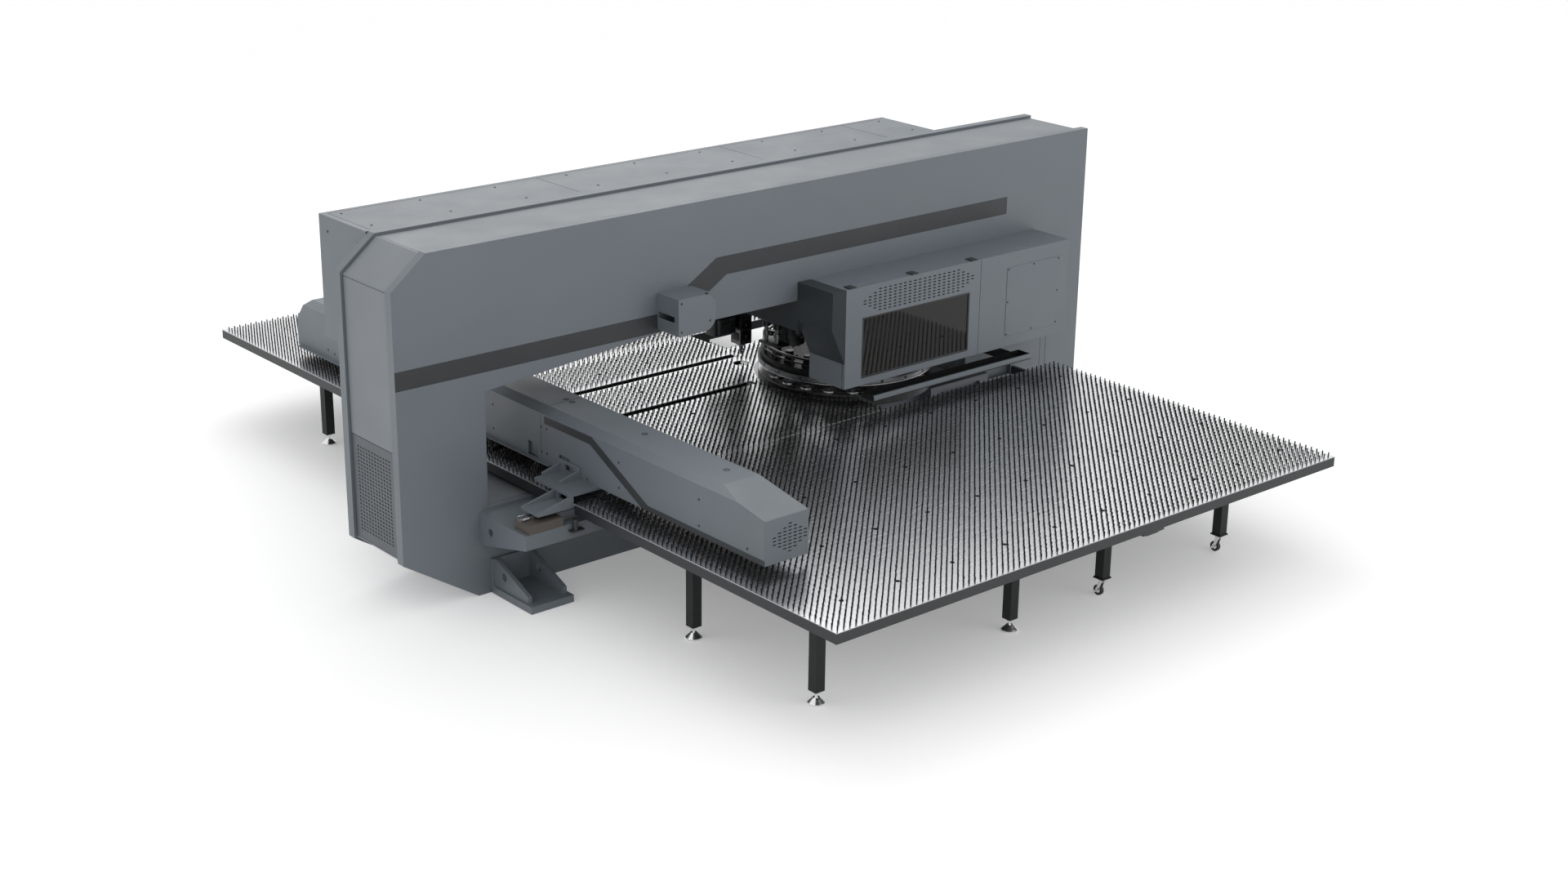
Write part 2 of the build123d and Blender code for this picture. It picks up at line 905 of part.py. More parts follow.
# Casters: a swivel fork under the leg's plate and a wheel on an axle
fork_top = caster_height - caster_plate - running_gap
axle_z = caster_wheel_radius
for number, wheel_x in enumerate(caster_x, 1):
    wheel_y = caster_y + caster_trail
    fork_half = caster_fork_width / 2
    with BuildPart() as caster_fork:
        post(wheel_x, caster_y, (fork_top - caster_plate, fork_top), caster_pivot_radius + fork_half)
        for side in (-1, 1):
            cheek = sorted((wheel_x + side * fork_half, wheel_x + side * (fork_half - caster_fork_sheet)))
            rib(
                (
                    (caster_y - fork_half, fork_top - caster_plate),
                    (caster_y + fork_half, fork_top - caster_plate),
                    (wheel_y + fork_half / 2, axle_z - fork_half / 2),
                    (wheel_y - fork_half / 2, axle_z - fork_half / 2),
                ),
                cheek,
            )
        rod_x(wheel_y, axle_z, (wheel_x - fork_half, wheel_x + fork_half), caster_axle_radius)
    save(caster_fork, f"caster_fork_{number}")

    with BuildPart() as caster_wheel:
        wheel_half = caster_wheel_width / 2
        rod_x(wheel_y, axle_z, (wheel_x - wheel_half, wheel_x + wheel_half), caster_wheel_radius)
        rod_x(
            wheel_y,
            axle_z,
            (wheel_x - wheel_half - cut_overrun, wheel_x + wheel_half + cut_overrun),
            caster_axle_radius + running_gap,
            Mode.SUBTRACT,
        )
    save(caster_wheel, f"caster_wheel_{number}")

# Gauging beam: a folded cover over a structural tube, with sloped ends
slope_front = beam_front + beam_slope_run
slope_back = beam_back - rear_slope_run
beam_inner_y = (beam_front + beam_lip, slope_back)


def beam_profile(inset):
    """Section of the cover, bevelled along its upper left edge."""
    return (
        (beam_left + inset, beam_low - cut_overrun * (inset > 0)),
        (beam_right - inset, beam_low - cut_overrun * (inset > 0)),
        (beam_right - inset, beam_top - inset),
        (beam_left + beam_bevel_run, beam_top - inset),
        (beam_left + inset, beam_top - beam_bevel_drop - inset),
    )


def beam_slopes(inset):
    """Wedges over the sloped ends of the beam, taken off the section."""
    wide = (beam_left - cut_overrun, beam_right + cut_overrun)
    high = beam_top + cut_overrun
    low = beam_top - inset
    ends = ((beam_front, slope_front, beam_slope_drop), (beam_back, slope_back, rear_slope_drop))
    for end, start, drop in ends:
        rib(((start, low), (end, low - drop), (end, high), (start, high)), wide, Mode.SUBTRACT)


def vent_slots(middle, column_rows, pitch_x):
    """Slots in columns about a middle point, in the open sketch."""
    for column, rows in enumerate(column_rows):
        slot_x = middle[0] + (column - (len(column_rows) - 1) / 2) * pitch_x
        for row in range(rows):
            with Locations((slot_x, middle[1] + (row - (rows - 1) / 2) * vent_pitch_z)):
                Rectangle(vent_slot_width, vent_slot_height)


with BuildPart() as beam_room:
    slab(beam_profile(beam_sheet), (beam_front + beam_sheet, beam_back - beam_sheet))
    beam_slopes(beam_sheet)

with BuildPart() as beam_cover:
    slab(beam_profile(0), (beam_front + beam_sheet, beam_back - beam_sheet))
    beam_slopes(0)
    add(beam_room.part, mode=Mode.SUBTRACT)
    block(
        (beam_right - beam_sheet - cut_overrun, beam_right + cut_overrun),
        beam_inner_y,
        (beam_low - cut_overrun, beam_top - beam_slope_drop - beam_lip),
        Mode.SUBTRACT,
    )
    block(
        (beam_left - beam_ledge, beam_left + beam_sheet),
        (front, beam_back - beam_lip),
        (beam_low, beam_low + beam_sheet),
    )
    for cut_offset in beam_cut_offsets:
        block(
            (beam_left - cut_overrun, beam_left + beam_sheet + cut_overrun),
            (front + cut_offset, front + cut_offset + beam_cut_width),
            (beam_low + beam_cut_rise, beam_low + beam_cut_rise + beam_cut_height),
            Mode.SUBTRACT,
        )
save(beam_cover, "beam_cover")

with BuildPart() as beam_end_caps:
    for cap_low in (beam_front, beam_back - beam_sheet):
        slab(beam_profile(0), (cap_low, cap_low + beam_sheet))
    beam_slopes(0)
    vent_middle = (
        (beam_left + beam_right) / 2 + vent_shift,
        (beam_low + beam_top - beam_slope_drop) / 2,
    )
    with BuildSketch(Plane.XZ.offset(-beam_front - beam_lip), mode=Mode.PRIVATE) as vent_field:
        vent_slots(vent_middle, vent_column_rows, vent_pitch_x)
    extrude(vent_field.sketch, amount=2 * beam_lip, mode=Mode.SUBTRACT)
save(beam_end_caps, "beam_end_caps")

with BuildPart() as beam_tube:
    block((tube_left, tube_right), beam_inner_y, (tube_low, tube_top))
    block(
        (tube_left + beam_tube_wall, tube_right - beam_tube_wall),
        (beam_inner_y[0] - cut_overrun, beam_inner_y[1] + cut_overrun),
        (tube_low + beam_tube_wall, tube_top - beam_tube_wall),
        Mode.SUBTRACT,
    )
    pads = ((front_seam, bracket_width), (rear_neck_y, neck_width), (screw_neck_y, neck_width))
    for pad_y, pad_width in pads:
        block((tube_left, tube_right), (pad_y - pad_width / 2, pad_y + pad_width / 2), (beam_low, tube_low))
save(beam_tube, "beam_tube")

# Carriage brackets: the stepped front one beside the table, and the rear one under the beam
bracket_left = left + bracket_inset
bracket_right = bracket_left + bracket_length
plate_low = brush_tip + bracket_plate_clearance
plate_left = bracket_left + bracket_slope
front_y = (front_seam - bracket_width / 2, front_seam + bracket_width / 2)
upper_left = bracket_left + upper_inset
upper_y = (front_seam + upper_shift, front_seam + upper_shift + upper_width)
crest_left = beam_left - bracket_web
crest_top = beam_low + bracket_rise
with BuildPart() as carriage_brackets:
    block((bracket_left, bracket_right), front_y, (guide_top, base_top))
    block((plate_left, tube_right), (front_y[0], upper_y[1]), (plate_low, beam_low))
    for web_low in (front_y[0], front_y[1] - bracket_web):
        slab(
            (
                (bracket_left, base_top),
                (bracket_right, base_top),
                (bracket_right, plate_low),
                (plate_left, plate_low),
            ),
            (web_low, web_low + bracket_web),
        )
    for web_low in (upper_y[0], upper_y[1] - bracket_web):
        slab(
            (
                (upper_left, beam_low),
                (crest_left, beam_low),
                (crest_left, beam_low + upper_web_rise),
                (upper_left, beam_low + upper_nose),
            ),
            (web_low, web_low + bracket_web),
        )
    for plate_x, plate_y, plate_z, hole_height in (
        (bracket_right - bracket_web, front_y, (base_top, plate_low), bracket_low_hole),
        (crest_left, upper_y, (beam_low, crest_top), bracket_high_hole),
    ):
        block((plate_x, plate_x + bracket_web), plate_y, plate_z)
        hole_y = sum(plate_y) / 2
        hole_z = sum(plate_z) / 2
        block(
            (plate_x - cut_overrun, plate_x + bracket_web + cut_overrun),
            (hole_y - bracket_hole_width / 2, hole_y + bracket_hole_width / 2),
            (hole_z - hole_height / 2, hole_z + hole_height / 2),
            Mode.SUBTRACT,
        )
    rear_y = (rear_neck_y - bracket_width / 2, rear_neck_y + bracket_width / 2)
    block((tube_left, tube_right), rear_y, (guide_top, base_top))
    neck_y = (rear_neck_y - neck_width / 2, rear_neck_y + neck_width / 2)
    block((tube_left, tube_right), neck_y, (base_top, beam_low))
save(carriage_brackets, "carriage_brackets")

guide_groove = rail_width / 2 + running_gap
with BuildPart() as guide_blocks:
    for guide_middle, rail_y in (
        ((bracket_left + bracket_right) / 2, front_seam),
        ((tube_left + tube_right) / 2, rear_neck_y),
    ):
        guide_x = (guide_middle - guide_length / 2, guide_middle + guide_length / 2)
        guide_y = (rail_y - guide_width / 2, rail_y + guide_width / 2)
        block(guide_x, guide_y, (rail_bed_top + seam_gap, guide_top))
        block(
            (guide_x[0] - cut_overrun, guide_x[1] + cut_overrun),
            (rail_y - guide_groove, rail_y + guide_groove),
            (rail_bed_top, rail_top + running_gap),
            Mode.SUBTRACT,
        )
save(guide_blocks, "guide_blocks")

with BuildPart() as screw_nut:
    nut_low = screw_z - screw_nut_radius
    block(
        (tube_left, tube_right),
        (screw_neck_y - neck_width / 2, screw_neck_y + neck_width / 2),
        (sheet_low - neck_width, beam_low),
    )
    block(
        (tube_left, tube_right),
        (screw_neck_y + neck_width / 2, screw_y + screw_nut_radius),
        (nut_low, sheet_low - cut_overrun),
    )
    rod_x(screw_y, screw_z, (tube_left - cut_overrun, tube_right + cut_overrun), block_gap, Mode.SUBTRACT)
save(screw_nut, "screw_nut")

# Clamp saddle on two rails along the beam tube
saddle_left = tube_right + saddle_rail_height + running_gap
saddle_right = saddle_left + saddle_thickness
saddle_y = (beam_middle - saddle_length / 2, beam_middle + saddle_length / 2)
saddle_z = (tube_low + seam_gap, tube_top - seam_gap)
saddle_rail_z = (saddle_z[0] + saddle_rail_width, saddle_z[1] - saddle_rail_width)
with BuildPart() as saddle_rails:
    for rail_z in saddle_rail_z:
        block(
            (tube_right, tube_right + saddle_rail_height),
            beam_inner_y,
            (rail_z - saddle_rail_width / 2, rail_z + saddle_rail_width / 2),
        )
save(saddle_rails, "saddle_rails")

with BuildPart() as saddle_plate:
    block((saddle_left, saddle_right), saddle_y, saddle_z)
save(saddle_plate, "saddle_plate")

clamp_low = brush_tip + clamp_clearance
clamp_front = saddle_right + clamp_depth
clamp_tip = clamp_front + clamp_jaw_length
jaw_low = clamp_low + clamp_jaw_thickness + clamp_jaw_gap
pivot_x = clamp_front + clamp_jaw_height / 2 + seam_gap
pivot_z = jaw_low + clamp_jaw_height / 2
clamp_places = [beam_middle + step * clamp_spacing for step in (-1, 0, 1)]
jaw_half = clamp_width / 2 - clamp_ear - clamp_side_gap
with BuildPart() as clamp_bodies:
    for clamp_y in clamp_places:
        clamp_y_limits = (clamp_y - clamp_width / 2, clamp_y + clamp_width / 2)
        body_z = (clamp_low + clamp_rise, clamp_low + clamp_rise + clamp_height)
        block((saddle_right, clamp_front), clamp_y_limits, body_z)
        block((saddle_right, clamp_tip), clamp_y_limits, (clamp_low, clamp_low + clamp_jaw_thickness))
        for ear_low in (clamp_y_limits[0], clamp_y_limits[1] - clamp_ear):
            ear_y = (ear_low, ear_low + clamp_ear)
            block(
                (clamp_front, pivot_x + clamp_jaw_height / 2),
                ear_y,
                (clamp_low + clamp_jaw_thickness, pivot_z + clamp_jaw_height / 2),
            )
            rod_y(
                pivot_x,
                pivot_z,
                (ear_y[0] - cut_overrun, ear_y[1] + cut_overrun),
                clamp_pin_radius + running_gap,
                Mode.SUBTRACT,
            )
save(clamp_bodies, "clamp_bodies")

for number, clamp_y in enumerate(clamp_places, 1):
    with BuildPart() as clamp_jaw:
        jaw_y = (clamp_y - jaw_half, clamp_y + jaw_half)
        rod_y(pivot_x, pivot_z, jaw_y, clamp_jaw_height / 2)
        slab(
            (
                (pivot_x, jaw_low),
                (clamp_tip, jaw_low),
                (clamp_tip, jaw_low + clamp_nose_height),
                (pivot_x, jaw_low + clamp_jaw_height),
            ),
            jaw_y,
        )
        rod_y(pivot_x, pivot_z, (clamp_y - clamp_width / 2, clamp_y + clamp_width / 2), clamp_pin_radius)
    save(clamp_jaw, f"clamp_jaw_{number}")

# Turret: an upper disc of tool holders on a fixed spindle, a lower disc of dies on a base
bore_radius = spindle_radius + running_gap
with BuildPart() as upper_turret:
    post(turret_x, turret_y, (turret_low, turret_top), turret_radius - turret_lip)
    post(turret_x, turret_y, (turret_low, turret_low + turret_thickness / 2), turret_radius)
    post(turret_x, turret_y, (turret_top, turret_top + turret_hub_height), turret_hub_radius)
    bore_z = (turret_low - cut_overrun, turret_top + turret_hub_height + cut_overrun)
    post(turret_x, turret_y, bore_z, bore_radius, Mode.SUBTRACT)
    post(
        turret_x,
        turret_y,
        (turret_low - cut_overrun, turret_low + spindle_collar_height + 2 * running_gap),
        spindle_radius + spindle_collar + running_gap,
        Mode.SUBTRACT,
    )
save(upper_turret, "upper_turret")

with BuildPart() as turret_spindle:
    post(turret_x, turret_y, (turret_low + running_gap, lintel_height), spindle_radius)
    collar_z = (turret_low + running_gap, turret_low + running_gap + spindle_collar_height)
    post(turret_x, turret_y, collar_z, spindle_radius + spindle_collar)
    flange_low = lintel_height - turret_hub_height
    post(turret_x, turret_y, (flange_low, lintel_height), turret_hub_radius)
save(turret_spindle, "turret_spindle")

tool_top = turret_top + tool_height
with BuildPart() as tool_holders:
    with Locations((turret_x, turret_y, turret_top + tool_collar_height / 2)):
        with PolarLocations(tool_circle_radius, tool_count):
            Cylinder(tool_radius, tool_collar_height)
    with Locations((turret_x, turret_y, (turret_top + tool_collar_height + tool_top) / 2)):
        with PolarLocations(tool_circle_radius, tool_count):
            Cylinder(tool_head_radius, tool_top - turret_top - tool_collar_height)
save(tool_holders, "tool_holders")

with BuildPart() as lower_turret:
    post(turret_x, turret_y, (die_turret_low, die_turret_top), turret_radius)
    bore_z = (die_turret_low - cut_overrun, die_turret_top + cut_overrun)
    post(turret_x, turret_y, bore_z, bore_radius, Mode.SUBTRACT)
save(lower_turret, "lower_turret")

with BuildPart() as turret_base:
    post(turret_x, turret_y, (sill, die_turret_low - running_gap), die_base_radius)
    post(turret_x, turret_y, (die_turret_low - running_gap, die_turret_top), spindle_radius)
save(turret_base, "turret_base")

with BuildPart() as dies:
    with Locations((turret_x, turret_y, die_turret_top + die_height / 2)):
        with PolarLocations(tool_circle_radius, tool_count):
            Cylinder(die_radius, die_height)
            Cylinder(die_bore_radius, die_height, mode=Mode.SUBTRACT)
save(dies, "dies")

# Punch ram over the station nearest the sheet
ram_x = turret_x - tool_circle_radius
ram_low = tool_top + ram_floor_gap + ram_travel
ram_housing_low = ram_low + ram_housing_lift
with BuildPart() as ram_housing:
    post(ram_x, turret_y, (ram_housing_low, lintel_height), ram_housing_radius)
    bore_z = (ram_housing_low - cut_overrun, ram_low + ram_length + running_gap)
    post(ram_x, turret_y, bore_z, ram_radius + running_gap, Mode.SUBTRACT)
save(ram_housing, "ram_housing")

with BuildPart() as punch_ram:
    post(ram_x, turret_y, (ram_low, ram_low + ram_length), ram_radius)
save(punch_ram, "punch_ram")

# Laser head on a plate under the rear housing
laser_tip = brush_tip + laser_tip_gap
laser_low = laser_tip + laser_nozzle_length
laser_back = laser_y + laser_width / 2
plate_y = (laser_back + running_gap, laser_back + running_gap + laser_plate)
with BuildPart() as laser_plate_mount:
    block(
        (laser_x - laser_plate_width / 2, laser_x + laser_plate_width / 2),
        plate_y,
        (laser_low + laser_travel, housing_low),
    )
save(laser_plate_mount, "laser_plate")

with BuildPart() as laser_head:
    block(
        (laser_x - laser_width / 2, laser_x + laser_width / 2),
        (laser_y - laser_width / 2, laser_back),
        (laser_low, laser_low + laser_height),
    )
    with Locations((laser_x, laser_y, (laser_tip + laser_low) / 2)):
        Cone(laser_tip_radius, laser_nozzle_radius, laser_nozzle_length)
save(laser_head, "laser_head")

# Head cover in front of the frame, open below over the turret, with a flap door in its left half
door_right = head_left + door_length
head_y = (head_front, front)
with BuildPart() as head_cover:
    block((head_left, head_right), head_y, (head_low, head_top))
    block(
        (head_left + head_sheet, head_right - head_sheet),
        (head_front + head_sheet, front + cut_overrun),
        (head_low - cut_overrun, head_top - head_sheet),
        Mode.SUBTRACT,
    )
    block(
        (head_left - cut_overrun, door_right),
        (head_front - cut_overrun, head_front + door_thickness + seam_gap),
        (head_low - cut_overrun, head_top + cut_overrun),
        Mode.SUBTRACT,
    )
save(head_cover, "head_cover")

door_x = (head_left + seam_gap, door_right - seam_gap)
window_x = (head_left + window_side_margin, head_left + window_side_margin + window_width)
window_z = (head_low + window_low_margin, head_low + window_low_margin + window_height)
door_y = (head_front, head_front + door_thickness)
with BuildPart() as head_door:
    block(door_x, door_y, (head_low, head_top - running_gap))
    block(
        (door_x[0] + head_sheet, door_x[1] - head_sheet),
        (head_front + head_sheet, head_front + door_thickness + cut_overrun),
        (head_low + head_sheet, head_top - 2 * head_sheet),
        Mode.SUBTRACT,
    )
    block(window_x, (head_front - cut_overrun, head_front + cut_overrun), window_z, Mode.SUBTRACT)
    door_vent_middle = ((window_x[0] + window_x[1]) / 2 + door_vent_shift, head_top - door_vent_drop)
    with BuildSketch(Plane.XZ.offset(-head_front - head_sheet), mode=Mode.PRIVATE) as door_slots:
        vent_slots(door_vent_middle, door_vent_rows, door_vent_pitch_x)
    extrude(door_slots.sketch, amount=2 * head_sheet, mode=Mode.SUBTRACT)
    block(
        door_x,
        (door_y[1] - head_sheet, door_y[1]),
        (window_z[1] + window_lap + seam_gap, head_top - running_gap),
    )
save(head_door, "head_door")

with BuildPart() as door_window:
    block(
        (window_x[0] - window_lap, window_x[1] + window_lap),
        (head_front + head_sheet, head_front + head_sheet + window_thickness),
        (window_z[0] - window_lap, window_z[1] + window_lap),
    )
save(door_window, "door_window")

leaf_back = head_front + door_thickness + seam_gap + hinge_foot
with BuildPart() as door_hinges:
    for share in (hinge_side_share, 1 / 2, 1 - hinge_side_share):
        middle = door_x[0] + (door_x[1] - door_x[0]) * share
        hinge_x = (middle - hinge_length / 2, middle + hinge_length / 2)
        block(hinge_x, (head_front, leaf_back), (head_top, head_top + hinge_thickness))
save(door_hinges, "door_hinges")

cap_left = head_left - cap_width
with BuildPart() as head_cap:
    slab(
        (
            (cap_left, head_top),
            (head_left, head_top),
            (head_left, head_low + cap_rise),
            (cap_left, head_low + cap_knee_rise),
        ),
        head_y,
    )
    block((cap_left, head_left), (front, inner_back), (head_low + cap_back_rise, lintel_height - seam_gap))
save(head_cap, "head_cap")

with BuildPart() as access_panel:
    block(
        (head_left + access_inset, head_left + access_inset + access_width),
        (head_front - access_thickness, head_front),
        (head_low + access_low, head_low + access_low + access_height),
    )
save(access_panel, "access_panel")

tray_x = (left + tray_inset, left + tray_inset + tray_length)
tray_y = (front - tray_front, front - tray_front + tray_width)
tray_z = (table_height + tray_rise, table_height + tray_rise + tray_depth)
with BuildPart() as head_tray:
    block(tray_x, tray_y, tray_z)
    block(
        (tray_x[0] + tray_sheet, tray_x[1] - tray_sheet),
        (tray_y[0] + tray_sheet, tray_y[1] - tray_sheet),
        (tray_z[0] + tray_sheet, tray_z[1] + cut_overrun),
        Mode.SUBTRACT,
    )
    block((tray_x[1] - tray_arm_length, tray_x[1]), (tray_y[1], front), (tray_z[0], tray_z[0] + tray_sheet))
save(head_tray, "head_tray")

# Small service box on the front plate beside the head
service_x = (left + service_inset, left + service_inset + service_length)
service_y = (front - service_depth, front)
service_z = (service_low, service_low + service_height)
with BuildPart() as service_box:
    block(service_x, service_y, service_z)
    block(
        (service_x[0] + service_wall, service_x[1] - service_wall),
        (service_y[0] - cut_overrun, front - service_wall),
        (service_z[0] + service_wall, service_z[1] - service_wall),
        Mode.SUBTRACT,
    )
    notch_low = service_low + service_notch_rise
    block(
        (service_x[0] - cut_overrun, service_x[0] + service_length / 2),
        (service_y[0] - cut_overrun, front - service_wall),
        (notch_low, notch_low + service_notch_height),
        Mode.SUBTRACT,
    )
save(service_box, "service_box")

with BuildPart() as service_lid:
    lid_x = (service_x[0], service_x[0] + service_lid_length)
    block(lid_x, (service_y[0] - service_lid_thickness, service_y[0]), service_z)
    lid_corners = service_lid.edges().filter_by(Axis.Y).group_by(Axis.X)[-1]
    fillet(lid_corners, service_lid_radius)
save(service_lid, "service_lid")

# Apron box beside the lower turret, with one long pocket
apron_x = (left + apron_inset, left + apron_inset + apron_length)
apron_z = (table_height - apron_drop - apron_height, table_height - apron_drop)
with BuildPart() as turret_apron:
    block(apron_x, (front - apron_depth, front), apron_z)
    apron_middle = (apron_x[0] + apron_x[1]) / 2
    block(
        (apron_middle - apron_slot_width / 2, apron_middle + apron_slot_width / 2),
        (front - apron_depth - cut_overrun, front - apron_depth + apron_slot_depth),
        (apron_z[1] - 2 * apron_slot_height, apron_z[1] - apron_slot_height),
        Mode.SUBTRACT,
    )
save(turret_apron, "turret_apron")
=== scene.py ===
import json
import math
import random

import bmesh
import bpy
from mathutils import Matrix, Vector


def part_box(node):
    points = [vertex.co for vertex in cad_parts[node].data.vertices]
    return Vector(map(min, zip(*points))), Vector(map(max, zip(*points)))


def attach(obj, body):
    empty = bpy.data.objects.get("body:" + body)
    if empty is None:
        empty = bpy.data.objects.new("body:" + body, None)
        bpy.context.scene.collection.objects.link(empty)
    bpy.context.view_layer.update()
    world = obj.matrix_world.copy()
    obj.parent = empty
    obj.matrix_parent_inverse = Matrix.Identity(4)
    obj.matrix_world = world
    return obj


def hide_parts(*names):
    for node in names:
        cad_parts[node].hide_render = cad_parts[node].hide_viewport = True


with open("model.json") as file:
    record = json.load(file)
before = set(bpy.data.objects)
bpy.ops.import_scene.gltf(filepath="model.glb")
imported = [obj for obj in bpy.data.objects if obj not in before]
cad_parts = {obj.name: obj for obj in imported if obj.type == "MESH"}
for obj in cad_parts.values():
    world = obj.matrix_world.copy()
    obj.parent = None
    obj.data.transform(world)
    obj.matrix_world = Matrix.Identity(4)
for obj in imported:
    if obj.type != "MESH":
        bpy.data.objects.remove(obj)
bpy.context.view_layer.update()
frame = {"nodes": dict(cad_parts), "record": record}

# Places read from the frame, in metres
PLATE_LOW, PLATE_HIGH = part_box("front_plate")
LEFT, FRONT, TOP = PLATE_LOW.x, PLATE_LOW.y, PLATE_HIGH.z
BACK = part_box("rear_plate")[1].y
BEAM_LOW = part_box("beam_end_caps")[0]
BEAM_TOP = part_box("beam_cover")[1].z
DOOR_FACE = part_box("head_door")[0].y
TABLE_LOW, TABLE_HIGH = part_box("front_table")
TABLE_TOP = TABLE_HIGH.z
TURRET_LOW, TURRET_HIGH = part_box("upper_turret")
TURRET_CENTRE = (TURRET_LOW + TURRET_HIGH) / 2
TURRET_RADIUS = (TURRET_HIGH.x - TURRET_LOW.x) / 2

# Directions
UP = Vector((0, 0, 1))
TO_FRONT = Vector((0, -1, 0))
TO_LEFT = Vector((-1, 0, 0))

# Camera at the photograph's angle
CAMERA_PLACE = Vector((-9.804, -12.058, 5.994))
CAMERA_AZIMUTH = math.radians(40.74)
CAMERA_ELEVATION = math.radians(20.04)
CAMERA_ROLL = math.radians(0.8)
SENSOR_WIDTH = 36.0
CAMERA_LENS = 51.76

# Light levels
WHITE_LIGHT = (1, 1, 1, 1)
WORLD_LIGHT = 0.86
WORLD_SEEN = 1.0
LAMP_TARGET = Vector((0, 0, 1))
TOP_LAMP_POWER = 330.0
SIDE_LAMP_POWER = 45.0
FILL_LAMP_POWER = 150.0
FLOOR_SIZE = 60.0
FLOOR_COLOUR = (0.86, 0.86, 0.86, 1.0)
FLOOR_ROUGHNESS = 0.9
FLOOR_LIFT = 0.24

# Colours of paints, metals and plastics
SLATE = (0.130, 0.150, 0.169)
# Textured slate paint, lighter than SLATE partly as painted light for panels that are lit more
SLATE_TEXTURED_LIT = (0.165, 0.182, 0.198)
GRILLE = (0.08, 0.092, 0.104)
STRIPE_GREY = (0.025, 0.0285, 0.031)
DARK = (0.017, 0.02, 0.021)
LEG_DARK = (0.0115, 0.0142, 0.0146)
CAP_DARK = (0.034, 0.041, 0.045)
BROWN = (0.08, 0.068, 0.061)
RIM = (0.0125, 0.016, 0.0175)
STEEL = (0.52, 0.52, 0.53)
BLACK_STEEL = (0.055, 0.056, 0.058)
TOOL_STEEL = (0.05, 0.05, 0.052)
WORN_STEEL = (0.2, 0.205, 0.21)
ZINC = (0.78, 0.78, 0.78)
SHEET = (0.7, 0.71, 0.72)
SHEET_DULL = (0.76, 0.77, 0.78)
SHEET_BRIGHT = (0.83, 0.84, 0.85)
SHEET_EDGE = (0.24, 0.25, 0.26)
MATTE_BLACK = (0.009, 0.0095, 0.01)
NYLON = (0.005, 0.005, 0.0055)
WHEEL_BLACK = (0.016, 0.016, 0.017)
PIPE_WHITE = (0.72, 0.72, 0.7)
GLASS_TINT = (0.012, 0.011, 0.0105)

# Stretch of a noise that draws scratches along one axis
EVEN = (1, 1, 1)
ACROSS_X = (40, 1, 1)
TURNED = (1, 1, 30)
TURNED_FINE = (1, 1, 20)
ROLLED = (1, 14, 1)
ROLLED_FINE = (1, 10, 1)

# Bristle tufts
TUFT_PITCH = 0.047
TUFT_RADIUS = 0.0047
TUFT_FLARE = 1.12
TUFT_STAGES = ((0.0, 1.0), (0.55, 0.92), (1.0, TUFT_FLARE))
TUFT_SIDES = 6
TUFT_LEAN = 0.0022
TUFT_SHORTEST_SHARE = 0.95
TUFT_EDGE = TUFT_RADIUS * 1.5
TUFT_MARGIN = TUFT_RADIUS * 2
SEED = 11

# Paint bands, lines and screws that lie on a surface
DECAL = 0.0006
LINE_WIDTH = 0.004
SCREW_RISE = 0.003
SCREW_TAPER_SHARE = 0.8
SOCKET_RISE = 0.0008
SOCKET_SHARES = (0.5, 0.42)
SMOOTH_ANGLE = math.radians(35)

# Cuts of the table, from the front plate's left edge and front face
BRACKET_SLOT_X = (0.96, 2.175)
BRACKET_SLOT_Y = (-0.505, -0.295)
NECK_SLOTS = ((1.24, 3.7), (0.655, 3.41))
NECK_SLOT_START = 1.11
NECK_SLOT_HALF_WIDTH = 0.035
TURRET_CLEARANCE = 0.03
PIT_REACH = 0.38
DROP_LEAD = 0.19
DROP_HALF_LENGTH = 0.58
DROP_START = 1.4
LASER_HOLE_RADIUS = 0.06

# Frame and beam, from the front plate's left edge and front face
PANEL_RECESS = 0.025
PLATE_DEPTH = 0.071
BEAM_SIDE = 1.15

# Turret
TOOL_COUNT = 20
DECK_RISE = 0.09
RIM_RADIUS = 0.655

# Levelling feet, from the front plate's left edge and front face
FOOT_COLUMNS = (1.235, 2.859, 4.91)
FOOT_ROWS = (-2.542, -1.382, 1.965, 3.125)
CASTER_CORNER = (FOOT_COLUMNS[-1], FOOT_ROWS[0])
FOOT_PLACES = [(x, y) for x in FOOT_COLUMNS for y in FOOT_ROWS if (x, y) != CASTER_CORNER]


def at(x, y, z):
    """Point given from the front plate's left edge and front face, and from the floor."""
    return Vector((LEFT + x, FRONT + y, z))


def up(height):
    """Upright step."""
    return Vector((0, 0, height))


def colour(rgb):
    """Colour socket value of an RGB triple."""
    return (*rgb, 1.0)


